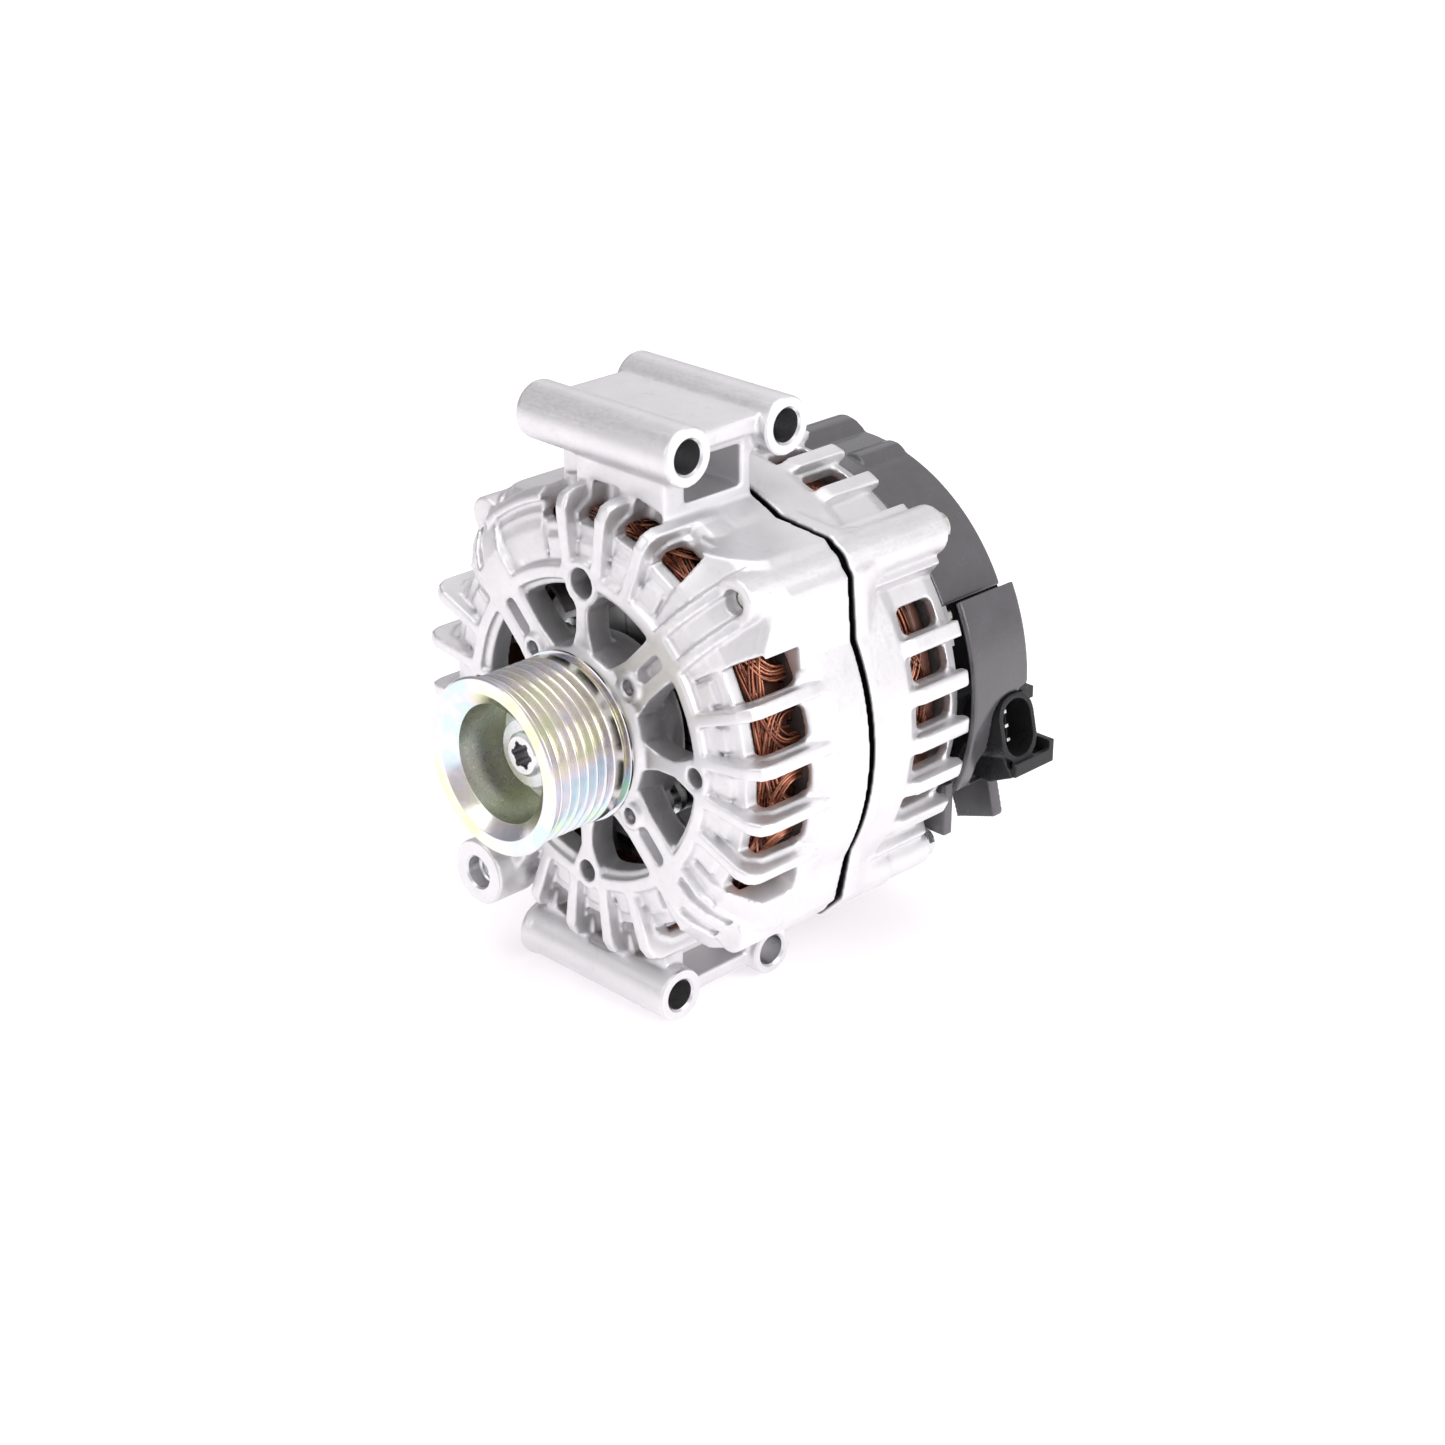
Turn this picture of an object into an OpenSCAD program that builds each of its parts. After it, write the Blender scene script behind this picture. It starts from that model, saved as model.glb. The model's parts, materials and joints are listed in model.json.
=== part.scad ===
// Car alternator: a claw-pole generator with a seven-groove belt pulley.
// The rotor axis lies along Y, the pulley faces -Y and +Z is up.
// The origin is on the rotor axis, in the middle plane of the belt.
// A "station" is a distance along Y. Angles turn from +X towards +Z.

/* [Pulley] */
// Outer diameter of the front rim
pulley_d = 56.4; // [56:0.1:57]
// Number of belt grooves
groove_count = 7; // [6:1:7]
// Distance from one groove to the next
groove_pitch = 3.56; // [3.5:0.01:3.58]
// Diameter of the deep front recess
pulley_recess_d = 37.6; // [36:0.2:38]
// Width of the nut across its flats
nut_flats = 22; // [21:0.5:22]

/* [Housings] */
// Outer diameter where the two housings meet
barrel_d = 150.4; // [150:0.2:152]
// Station of the plane where the housings meet
joint_y = 72.7; // [72.5:0.1:73]
// Gap left between the two housings
joint_gap = 2.4; // [2:0.1:2.6]
// Pitch circle diameter of the through bolts
bolt_circle_d = 156.4; // [156:0.2:158]
// Angle between neighbouring front cooling fins
front_fin_pitch = 14; // [13.5:0.25:14.5]
// Angle between neighbouring rear cooling fins
rear_fin_pitch = 12; // [11.5:0.25:12.5]
// Thickness of a cooling fin
fin_t = 4.2; // [4:0.1:4.8]

/* [Mounting tubes] */
// Outer diameter of the two top tubes
top_tube_d = 18.6; // [18:0.2:19]
// Outer diameter of the front bottom tube
low_tube_d = 17.6; // [17:0.2:18]
// Bore diameter of the top tubes
top_bore_d = 10.6; // [10:0.1:11]
// Bore diameter of the bottom tube and the lug
low_bore_d = 10; // [9.6:0.1:10.2]
// Height of the top tubes above the rotor axis
top_tube_z = 92; // [91:0.5:93]
// Depth of the bottom tube below the rotor axis
low_tube_z = 84; // [83.5:0.5:85]
// Distance along the rotor axis between front and rear tubes
tube_pitch = 41; // [40.5:0.5:41.5]

/* [Electrical] */
// Outer diameter of the stator stack
stator_d = 141; // [140.6:0.1:141]
// Length of the stator stack
stack_l = 42; // [40:1:43]
// Number of stator slots
slot_count = 48; // [36:12:48]
// Outer diameter of the rotor claws
rotor_d = 107.2; // [106:0.2:107.2]
// Claws on each pole piece
claw_count = 6; // [6:1:6]
// Diameter of a slip ring
slip_ring_d = 16; // [15.6:0.1:16]

/* [Rear cover] */
// Diameter of the cover at its front edge
cover_d = 134; // [133:0.5:135]
// Thickness of the cover wall
cover_t = 2.2; // [2:0.1:2.4]

/* [Hidden] */
$fn = 72;
fit = 0.03;         // radial gap between parts pressed or screwed together
run = 0.06;         // radial gap between parts that slide on each other

// Stations of the rotor stack
belt_half = groove_count * groove_pitch / 2;
rim_y = -13.3;
shaft_tip_y = -1.3;
nut_y = 0.7;
nut_seat_y = 10.7;
pulley_end_y = 19.7;
front_bearing_y = 24;
front_bearing_w = 14;
pole_y0 = 46;
pole_y1 = 98;
rear_bearing_y = 112;
rear_bearing_w = 11;
ring_y = [126, 136.5];
ring_w = 7;
shaft_end_y = 147;
mid_y = (pole_y0 + pole_y1) / 2;

// Stations of the fixed parts
hub_y = 21;
face_y = 23.7;
floor_y = 28.7;
inside_y = 33.7;
bolt_tip_y = 37;
vent_y0 = 27.4;
vent_y1 = 49.7;
top_vent_y1 = 41.7;       // vents on the top side are shorter
front_end_y = joint_y - joint_gap / 2;
rear_start_y = joint_y + joint_gap / 2;
stack_y0 = mid_y - stack_l / 2;
stack_y1 = mid_y + stack_l / 2;
back_in_y = 114.2;
back_y = 118.7;
cover_y0 = 120.7;
cover_y1 = 151.7;

// Radii
shaft_r = 8.5;
thread_r = 7;
collar_r = 10.5;        // shaft shoulder behind the front bearing
pole_bore_r = 11;
tail_r = 7.5;           // seat of the rear bearing
ring_seat_r = 5.5;      // seat of the slip rings
rim_r = pulley_d / 2;
crest_r = rim_r - 1.5;
groove_depth = 2.6;
barrel_r = barrel_d / 2;
stator_r = stator_d / 2;
vent_r = 72;
cavity_r = 68.2;
bolt_r = 3;
bolt_pcr = bolt_circle_d / 2;
boss_r = 7.6;
hub_r = 27;
hub_lip_r = 19.5;
front_race_r = 23.5;    // outer radius of the front bearing
rear_race_r = 17.5;
sleeve_r = 19;
window_r = 46;
ring_face_r = 52.5;
fin_r = 76;
rotor_r = rotor_d / 2;
stator_bore_r = rotor_r + 0.4;
slot_r = 64;
ring_r = slip_ring_d / 2;
front_pitch_r = 16;
front_ball_r = 4.76;
rear_pitch_r = 12.5;
rear_ball_r = 2.98;

// Places of repeated features
bolt_angles = [45, 135, 225, 315];
spoke_angles = [0, 90, 180, 270];
spoke_hole_r = [3.2, 4.8, 3.5, 3.5];
spoke_hole_pcr = 48.2;
retainer_pcr = 30;
retainer_y = 40.1;
tube_front_y = 38.7;
low_tube_front_y = 33.7;
bar_w = 15;
groove_w = 3.3;
groove_side = 4;          // from the middle of a bar to its groove
groove_end_r = 73.5;
groove_cut = 3;
pull_from = 66;          // corners are pulled in beyond this radius
pull = 0.8;
cover_screw_angles = [75, 165, 262];
cover_screw_pcr = 59;
stud_angle = 150;
stud_pcr = 42;
stud_r = 4;
stud_base_r = 4.6;
stud_neck_y = 150.9;
stud_end_y = 163;
spacer_r = 4;
sink_y = [118.8, 131];       // front faces of the two heat sinks
sink_t = 3.2;
board_y = 127.4;
sink_angles = [12, 236];
sink_r = 55;
diode_pcr = [46, 40];
diode_r = 6.4;
diode_angles = [40, 95, 195];
diode_turn = 16;            // the rear diodes sit this much further round
spacer_angles = [22, 120, 218];
spacer_pcr = 50;
lead_angles = [50, 63, 179];
lead_pcr = 62;
side_boss = [-38.6, -58.5];
socket_x = 78;
socket_y = 138.2;
socket_z = -10.5;
socket_tilt = 13;

// ---------- shape helpers ----------

// Extrudes a front-view outline (X across, Z up) from station y0 to y1
module prism(y0, y1) {
    translate([0, y1, 0])
    rotate([90, 0, 0])
    linear_extrude(y1 - y0)
    children();
}

// Turns an outline of [radius, station] points about the rotor axis
module turned() {
    rotate([-90, 0, 0])
    rotate_extrude()
    children();
}

// Turns the same kind of outline through part of a circle only
module sector(a0, a1) {
    rotate([0, -a1, 0])
    rotate([-90, 0, 0])
    rotate_extrude(angle = a1 - a0)
    children();
}

// A flat rib of width w standing on the axis at one angle, from a [radius, station] outline
module rib(angle, w) {
    rotate([0, -angle, 0])
    translate([0, 0, -w / 2])
    linear_extrude(w)
    children();
}

// A plain ring between two stations
module ring(y0, y1, ro, ri) {
    prism(y0, y1)
    difference() {
        circle(ro);
        circle(ri);
    }
}

// A rod parallel to the rotor axis at a polar place
module rod(y0, y1, r, pcr, angle) {
    prism(y0, y1)
    rotate(angle)
    translate([pcr, 0])
    circle(r);
}

// A hexagonal head or nut parallel to the rotor axis
module hex_rod(y0, y1, flats, pcr, angle) {
    prism(y0, y1)
    rotate(angle)
    translate([pcr, 0])
    circle(flats / sqrt(3), $fn = 6);
}

// A rod along X
module cross_rod(x0, x1, r, y, z) {
    translate([x0, y, z])
    rotate([0, 90, 0])
    cylinder(h = x1 - x0, r = r);
}

// A rounded rectangle built from plain circles, centred on the origin
module round_rect(w, h, r) {
    square([w - 2 * r, h], center = true);
    square([w, h - 2 * r], center = true);
    for (sx = [-1, 1], sy = [-1, 1])
        translate([sx * (w / 2 - r), sy * (h / 2 - r)])
        circle(r, $fn = 32);
}

// A straight slot with round ends, from x0 to x1 on the X axis
module stadium(x0, x1, w) {
    translate([x0, -w / 2])
    square([x1 - x0, w]);
    for (x = [x0, x1])
        translate([x, 0])
        circle(w / 2, $fn = 32);
}

// A rounded window cut through the barrel wall, from radius r0 to r1
module side_window(angle, y0, y1, r0, r1, w, r) {
    rotate([0, -angle, 0])
    translate([r0, (y0 + y1) / 2, 0])
    rotate([0, 90, 0])
    linear_extrude(r1 - r0)
    round_rect(w, y1 - y0, r);
}

// Three corners reach out less far than the upper-right one
function pulled(r, angle) =
    (r <= pull_from || angle == bolt_angles[0]) ? r : pull_from + (r - pull_from) * pull;
function pulled_line(line, angle) = [for (p = line) [pulled(p[0], angle), p[1]]];
function bolt_at(angle) = pulled(bolt_pcr, angle);
function boss_at(angle) = angle == bolt_angles[0] ? boss_r : boss_r * pull;

// A box given by its lowest and highest corners
module block(low, high) {
    translate(low)
    cube(high - low);
}

// ---------- front housing ----------

// Angles of the cooling fins on the four sides, leaving out the smooth upper-left panel
front_fins = [
    for (side = spoke_angles, k = [-1.5, -0.5, 0.5, 1.5])
        let (a = side + k * front_fin_pitch)
        if (!(a > 100 && a < 130)) a
];
front_vents = [
    for (side = spoke_angles, k = [-2, -1, 0, 1, 2])
        let (a = side + k * front_fin_pitch)
        if (!(a > 110 && a < 130)) a
];

function on_top(a) = a > 60 && a < 120;

// Outline of the barrel with its floor between the fins, before the inside is cleared
module front_barrel_outline() {
    polygon([
        [ring_face_r, face_y], [ring_face_r + 1, floor_y],
        [vent_r - 4, floor_y], [vent_r - 0.5, inside_y], [vent_r, vent_y1],
        [barrel_r, vent_y1 + 6], [barrel_r, front_end_y + 1], [cavity_r - 1, front_end_y + 1],
        [cavity_r - 1, inside_y + 1], [window_r - 1, inside_y + 1], [window_r - 1, face_y]
    ]);
}

// Outline of a radial fin or bar, from radius r0 out to r1
module fin_outline(r0, r1) {
    polygon([
        [r0, face_y], [r1 - 5, face_y], [r1 - 1.2, face_y + 2], [r1, face_y + 5.5],
        [r1, vent_y1 + 1], [barrel_r, vent_y1 + 5.5], [vent_r - 2, vent_y1 + 5.5],
        [vent_r - 2, inside_y - 0.6], [r0, inside_y - 0.6]
    ]);
}

// Outer surface of a corner as [radius, station] points, from the ring out to the bolt boss
corner_line = [
    [window_r + 2, face_y + 2.9], [56, face_y + 2.7], [63, face_y + 3.6], [70, face_y + 6.4],
    [76, face_y + 10.3], [bolt_pcr + 3, face_y + 14.6], [bolt_pcr + 6.2, face_y + 19.6],
    [bolt_pcr + 8, face_y + 27]
];

// Top of a diagonal bar, which stands a little proud of its corner
bar_line = [
    [hub_r - 2, face_y], [55, face_y], [62, face_y + 0.9], [69, face_y + 3.9],
    [75, face_y + 7.9], [bolt_pcr + 2.5, face_y + 12.4], [bolt_pcr + 5.2, face_y + 17]
];

// The diagonal bars that carry the through-bolt bosses
module bolt_bar(angle) {
    end_r = pulled(bolt_pcr + 5.2, angle);
    rib(angle, bar_w)
    polygon(concat(
        pulled_line(bar_line, angle),
        [
            [end_r, inside_y + 12], [vent_r - 3, inside_y + 12],
            [vent_r - 3, inside_y + 1], [hub_r - 2, inside_y + 1]
        ]
    ));
    rod(inside_y - 1, front_end_y + 1, boss_at(angle), bolt_at(angle), angle);
    // broad swelling of the corner towards the boss
    tip_r = pulled(bolt_pcr + 7.2, angle);
    intersection() {
        turned()
        polygon(concat(
            pulled_line(corner_line, angle),
            [
                [pulled(bolt_pcr + 8, angle), front_end_y + 2], [40, front_end_y + 2],
                [40, inside_y - 0.7], [window_r + 2, inside_y - 0.7]
            ]
        ));
        prism(face_y - 1, front_end_y + 1)
        rotate(angle)
        polygon([
            for (t = [[window_r + 1, -11.5], [cavity_r - 2, -12], [cavity_r - 1, -21],
                      [barrel_r - 1, -19], [tip_r, -4.5], [tip_r, 4.5],
                      [barrel_r - 1, 19], [cavity_r - 1, 21], [cavity_r - 2, 12],
                      [window_r + 1, 11.5]])
                t[0] * [cos(t[1]), sin(t[1])]
        ]);
    }
}

// Groove cut to a set depth along the top of a bar, beside its centre line
module bar_groove(angle, w, side, r0, r1, depth) {
    line = pulled_line(bar_line, angle);
    rotate([0, -angle, 0])
    translate([0, 0, side])
    rib(0, w)
    polygon(concat(
        [[r1, 0], [r0, 0]],
        [for (p = line) if (p[0] > r0 && p[0] < r1) [p[0], p[1] + depth]],
        [[r1, lookup(r1, line) + depth]]
    ));
}

// Tapered spoke with a round pad at its hole
module spoke_outline(hole_r) {
    polygon([
        [hub_r - 2, 5], [hub_r + 6, 2.6], [spoke_hole_pcr - 9, 2.4], [spoke_hole_pcr, 6],
        [spoke_hole_pcr, -6], [spoke_hole_pcr - 9, -2.4], [hub_r + 6, -2.6], [hub_r - 2, -5]
    ]);
    translate([spoke_hole_pcr, 0])
    circle(hole_r + 2.6);
}

module front_hub() {
    turned()
    polygon([
        [hub_lip_r, hub_y], [hub_r - 2, hub_y], [hub_r, hub_y + 2], [hub_r + 1.5, retainer_y - 0.1],
        [front_race_r + fit, retainer_y - 0.1], [front_race_r + fit, front_bearing_y],
        [hub_lip_r, front_bearing_y]
    ]);
    for (i = [0:3])
        prism(face_y + 0.15, inside_y - 0.2)
        rotate(spoke_angles[i])
        spoke_outline(spoke_hole_r[i]);
    for (a = bolt_angles) {
        prism(face_y + 0.1, inside_y - 0.1)
        rotate(a)
        polygon([
            [hub_r - 2, 8.5], [34, 7], [window_r + 5, 7.3],
            [window_r + 5, -7.3], [34, -7], [hub_r - 2, -8.5]
        ]);
        rod(hub_y + 1.5, retainer_y - 2, 4.6, retainer_pcr, a);
    }
}

module top_block() {
    x0 = -34;
    x1 = 31.5;
    rear_y = tube_front_y + tube_pitch;
    for (y = [tube_front_y, rear_y])
        cross_rod(x0, x1, top_tube_d / 2, y, top_tube_z);
    // web between the tubes
    block([x0 + 2, tube_front_y, top_tube_z - 1], [x1 - 3.5, rear_y, top_tube_z + 5]);
    // block under the web, set back on its left side
    block([-13, tube_front_y - 4, 64], [25, front_end_y - 0.3, top_tube_z]);
    block([-25, tube_front_y + 1.5, 62], [-12, front_end_y - 0.3, top_tube_z - 0.4]);
    // foot that carries the overhanging rear tube
    block([-25, front_end_y - 10, top_tube_z - 8], [25, rear_y - 2, top_tube_z]);
}

module bottom_tubes() {
    rear_y = low_tube_front_y + tube_pitch;
    cross_rod(-33, 32, low_tube_d / 2, low_tube_front_y, -low_tube_z);
    cross_rod(-34, -31, low_tube_d / 2 + 0.7, low_tube_front_y, -low_tube_z);
    cross_rod(13, 32, low_tube_d / 2 - 0.6, rear_y, -low_tube_z);
    // web between the tube and the lug, and walls up to the barrel
    block([14, low_tube_front_y, -low_tube_z - 3.5], [29, rear_y, -low_tube_z + 1.5]);
    block([-29, low_tube_front_y - 2, -low_tube_z], [27, low_tube_front_y + 6, -62]);
    block([14, joint_y - 7, -low_tube_z], [29, front_end_y - 0.3, -62]);
}

module side_boss_outline(r) {
    translate(side_boss)
    circle(r);
}

module front_shell_solid() {
    turned()
    front_barrel_outline();
    for (a = front_fins)
        rib(a, fin_t)
        fin_outline(ring_face_r - 1, fin_r);
    // low pad in front of each vent
    for (a = front_vents)
        rib(a, 7.4)
        polygon([
            [ring_face_r, floor_y - 2.4], [60.5, floor_y - 1.8],
            [62, floor_y + 1], [ring_face_r, floor_y + 1]
        ]);
    // wall behind the shorter vents, level with the fins
    for (a = front_vents)
        if (on_top(a))
            sector(a - front_fin_pitch / 2, a + front_fin_pitch / 2)
            polygon([
                [vent_r - 2, top_vent_y1 + 0.6], [fin_r - 2.4, top_vent_y1 + 1.4],
                [fin_r - 0.5, top_vent_y1 + 4], [fin_r - 0.5, vent_y1 + 0.6],
                [barrel_r - 0.2, vent_y1 + 5.2], [vent_r - 2, vent_y1 + 5.2]
            ]);
    for (a = bolt_angles)
        bolt_bar(a);
    // smooth panel at the upper left, with a raised border
    sector(109, 129)
    polygon(concat(
        [for (p = corner_line) if (p[0] < vent_r) p],
        [
            [fin_r - 1.6, face_y + 9.5], [fin_r - 1, face_y + 13], [fin_r - 1, vent_y1],
            [barrel_r - 0.2, vent_y1 + 5], [vent_r - 2, vent_y1 + 5],
            [vent_r - 2, inside_y - 0.8], [window_r + 2, inside_y - 0.8]
        ]
    ));
    sector(108, 133)
    polygon([
        [vent_r - 0.8, face_y + 5], [vent_r + 1.4, face_y + 5.4], [fin_r - 0.6, face_y + 8.4],
        [fin_r - 0.6, face_y + 20], [vent_r - 0.8, face_y + 20]
    ]);
}

module front_housing_solid() {
    difference() {
        front_shell_solid();
        // flat joint face
        ring(front_end_y, front_end_y + 5, 100, 30);
    }
    top_block();
    bottom_tubes();
    prism(11.7, 50)
    side_boss_outline(11);
    rib(236.6, 15)
    polygon([[56, 20], [70, 18], [70, 50], [56, 50]]);
}

module front_housing() {
    color("gainsboro")
    difference() {
        union() {
            difference() {
                front_housing_solid();
                // step round the inner edge of the face ring
                ring(0, face_y + 2.2, window_r + 2.3, window_r - 5);
                // room for the stator, its winding and the rotor, and the open middle of the face
                turned()
                polygon([
                    [0, 0], [window_r, 0], [window_r, inside_y], [cavity_r, inside_y],
                    [cavity_r, stack_y0 - 2.4], [stator_r + 0.1, stack_y0 - 0.4],
                    [stator_r + 0.1, 90], [0, 90]
                ]);
            }
            front_hub();
        }
        for (a = front_vents)
            side_window(a, vent_y0, on_top(a) ? top_vent_y1 : vent_y1, 64.8, 77, 11.5, 3);
        // holes in the spokes and for the retainer screws
        for (i = [0:3])
            rod(0, inside_y + 1, spoke_hole_r[i], spoke_hole_pcr, spoke_angles[i]);
        for (a = bolt_angles) {
            rod(0, retainer_y + 1, 2.5, retainer_pcr, a);
            rod(bolt_tip_y - 0.4, front_end_y + 1, bolt_r + 0.3, bolt_at(a), a);
            // slot pocket in the bar
            prism(0, face_y + 5)
            rotate(a)
            stadium(37, 45.5, 4.4);
        }
        // round seat through which the end of the upper-right bolt shows
        rod(0, bolt_tip_y, 4, bolt_pcr, bolt_angles[0]);
        // long trough in the upper-right bar, out to the bolt's end
        bar_groove(bolt_angles[0], 7.4, 0, 50, bolt_pcr - 0.6, 2.2);
        // twin grooves in the lower-right bar, one on the outer side of each left bar
        for (side = [-groove_side, groove_side])
            bar_groove(bolt_angles[3], groove_w, side, 55 - side, groove_end_r, groove_cut);
        bar_groove(bolt_angles[1], groove_w, groove_side, 56, groove_end_r, groove_cut);
        bar_groove(bolt_angles[2], groove_w, -groove_side, 56, groove_end_r, groove_cut);
        // bores of the four tubes
        for (y = [0, tube_pitch]) {
            cross_rod(-40, 40, top_bore_d / 2, tube_front_y + y, top_tube_z);
            cross_rod(-40, 40, low_bore_d / 2, low_tube_front_y + y, -low_tube_z);
        }
        // open windows in the top block
        block([1, tube_front_y + 5, 75], [40, joint_y - 6, top_tube_z - 4]);
        block([-40, tube_front_y + 12, 75], [-5, joint_y - 6, top_tube_z - 4]);
        // opening behind the bottom tube
        block([-40, low_tube_front_y + 10, -low_tube_z + 1.6], [40, joint_y - 9, -76.2]);
        // threaded side boss
        prism(0, 17)
        side_boss_outline(5.2);
        prism(0, 33)
        side_boss_outline(4.25);
    }
}

// ---------- rear housing ----------

rear_fins = [
    for (side = spoke_angles, k = [-2, -1, 0, 1, 2])
        side - 2.6 + k * rear_fin_pitch
];
rear_vents = [
    for (side = spoke_angles, k = [-1.5, -0.5, 0.5, 1.5, 2.5])
        side - 2.6 + k * rear_fin_pitch
];

module rear_shell_solid() {
    turned()
    polygon([
        [barrel_r, rear_start_y - 1], [barrel_r, 90], [vent_r, 95.5], [vent_r, 112],
        [vent_r - 3, back_y], [20, back_y], [20, rear_start_y - 1]
    ]);
    for (a = rear_fins)
        rib(a, fin_t + 1)
        polygon([
            [vent_r - 2, 93], [barrel_r - 0.2, 90.5], [fin_r + 0.3, 95.5], [fin_r + 0.3, back_y - 3],
            [fin_r - 0.7, back_y - 1.6], [fin_r - 3.5, back_y - 1.6], [fin_r - 4.5, back_y - 4],
            [vent_r - 2, back_y - 4.2]
        ]);
    for (a = bolt_angles) {
        rod(rear_start_y - 1, back_y - 0.2, boss_at(a) + 0.4, bolt_at(a), a);
        rib(a, 22)
        polygon([
            [cavity_r - 1, rear_start_y - 1], [bolt_at(a) - 0.5, rear_start_y - 1],
            [bolt_at(a) - 0.5, back_y - 3], [cavity_r + 1, back_y - 0.6],
            [cavity_r - 1, back_y - 0.6]
        ]);
    }
}

module rear_housing() {
    color("gainsboro")
    difference() {
        union() {
            difference() {
                rear_shell_solid();
                // flat joint face, and room for the stator, its winding and the fan
                turned()
                polygon([
                    [0, 60], [100, 60], [100, rear_start_y], [stator_r + 0.1, rear_start_y],
                    [stator_r + 0.1, stack_y1 + 0.4], [cavity_r, stack_y1 + 2.4],
                    [cavity_r, back_in_y], [0, back_in_y]
                ]);
            }
            // seat of the rear bearing
            turned()
            polygon([
                [13.5, rear_bearing_y - 2], [sleeve_r + 3.5, rear_bearing_y - 2],
                [sleeve_r + 4.5, back_y - 1], [sleeve_r + 4.5, back_y + 3.5],
                [sleeve_r + 2.5, back_y + 5.3], [sleeve_r + fit, back_y + 5.3],
                [sleeve_r + fit, rear_bearing_y - 0.2], [13.5, rear_bearing_y - 0.2]
            ]);
            // posts for the cover screws
            for (a = cover_screw_angles)
                rod(back_in_y + 1, cover_y0 + 18, 4, cover_screw_pcr, a);
        }
        for (a = rear_vents)
            side_window(a, 96.2, 112.2, 60, 90, 8.8, 2.6);
        for (a = bolt_angles)
            rod(70, back_y + 1, bolt_r + 0.3, bolt_at(a), a);
        // air intake windows around the rear bearing
        for (a = [0:30:330])
            prism(back_in_y - 1, back_y + 1)
            rotate(a)
            polygon([[28, 4], [44, 7], [44, -7], [28, -4]]);
        for (a = lead_angles)
            rod(back_in_y - 1, back_y + 1, 2.2, lead_pcr, a);
        for (a = cover_screw_angles)
            rod(cover_y0, cover_y0 + 19, 1.6, cover_screw_pcr, a);
    }
}

// ---------- rear cover and connector ----------

cover_r = cover_d / 2;
swell_r = cover_r + 7.5;
duct_x = -6;
duct_z = 62.5;
duct_r = 8.6;

// Outline of the cover seen from the front, shrunk by s for the inside
module cover_shape(s) {
    circle(cover_r - s);
    // swollen side towards the connector
    intersection() {
        circle(swell_r - s);
        polygon([[0, 0], [90, 45.5], [110, 0], [90, -41]]);
    }
    // half-round duct along the top
    translate([duct_x, duct_z])
    circle(duct_r - s);
}

module rear_cover() {
    color("dimgray")
    difference() {
        union() {
            difference() {
                union() {
                    prism(cover_y0, cover_y1)
                    cover_shape(0);
                    // pad of the upper screw
                    rod(cover_y0 + 8, cover_y1 - 0.6, 6.5, cover_screw_pcr + 3, 77);
                    // two lower tabs
                    block([54, cover_y0, -48.2], [63.5, cover_y0 + 4.2, -30]);
                    prism(cover_y0 + 15.3, cover_y0 + 19.8)
                    polygon([[52, -38], [56, -49], [71.5, -43.8], [68.5, -32], [60, -24]]);
                }
                prism(cover_y0 - 1, cover_y1 - cover_t)
                cover_shape(cover_t);
            }
            // screw posts with seats
            for (a = cover_screw_angles)
                rod(cover_y0 + 18.2, cover_y1 - 0.5, 6.8, cover_screw_pcr - 1, a);
        }
        // rounded rear edge
        turned()
        polygon([
            [cover_r - 6, cover_y1 + 1], [cover_r - 5, cover_y1], [cover_r - 1.2, cover_y1 - 3],
            [swell_r + 0.2, cover_y1 - 5.4], [swell_r + 8, cover_y1 - 6], [swell_r + 8, cover_y1 + 1]
        ]);
        // opening in the swollen side for the connector
        side_slab(59.9, 90)
        opening_outline(0);
        // room for the barrel of the socket
        socket_prism(-22, 10, 22.3, 16.9, 7.5);
        // well of the output stud
        rod(cover_y1 - 10, cover_y1 + 1, 11.5, stud_pcr, stud_angle);
        // screw holes
        for (a = cover_screw_angles) {
            rod(cover_y0, cover_y1 + 1, 2.4, cover_screw_pcr, a);
            rod(cover_y1 - 6, cover_y1 + 1, 5.2, cover_screw_pcr, a);
        }
        // air slots around the slip-ring end
        for (a = [36:14:120])
            prism(cover_y1 - 5, cover_y1 + 1)
            rotate(a)
            stadium(22, 44, 4);
        for (a = [190:14:232])
            prism(cover_y1 - 5, cover_y1 + 1)
            rotate(a)
            stadium(22, 50, 4);
    }
}

// Extrudes an outline of [Y, Z] points along X
module side_slab(x0, x1) {
    translate([x0, 0, 0])
    rotate([90, 0, 90])
    linear_extrude(x1 - x0)
    children();
}

// Outline of the connector opening seen from +X, drawn smaller by s
module opening_outline(s) {
    polygon([
        [cover_y1 + 1 - s * 4, -30 + s], [cover_y0 + 6 + s, -30 + s], [cover_y0 + 6 + s, -21.4 - s / 2],
        [socket_y - 4.5 + s, -11.6 - s], [socket_y - 0.6 + s, -1.4 - s],
        [cover_y1 - 6, 1 - s], [cover_y1 + 1 - s * 4, 1.8 - s]
    ]);
}

// Places something in the socket's own frame: X points out of the mouth, which is the origin
module socket_frame() {
    translate([socket_x, socket_y, socket_z])
    rotate([0, -socket_tilt, 0])
    children();
}

// A rounded bar along the socket's axis
module socket_prism(x0, x1, h, w, r) {
    socket_frame()
    translate([x0, 0, 0])
    rotate([0, 90, 0])
    linear_extrude(x1 - x0)
    round_rect(h, w, r);
}

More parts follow.
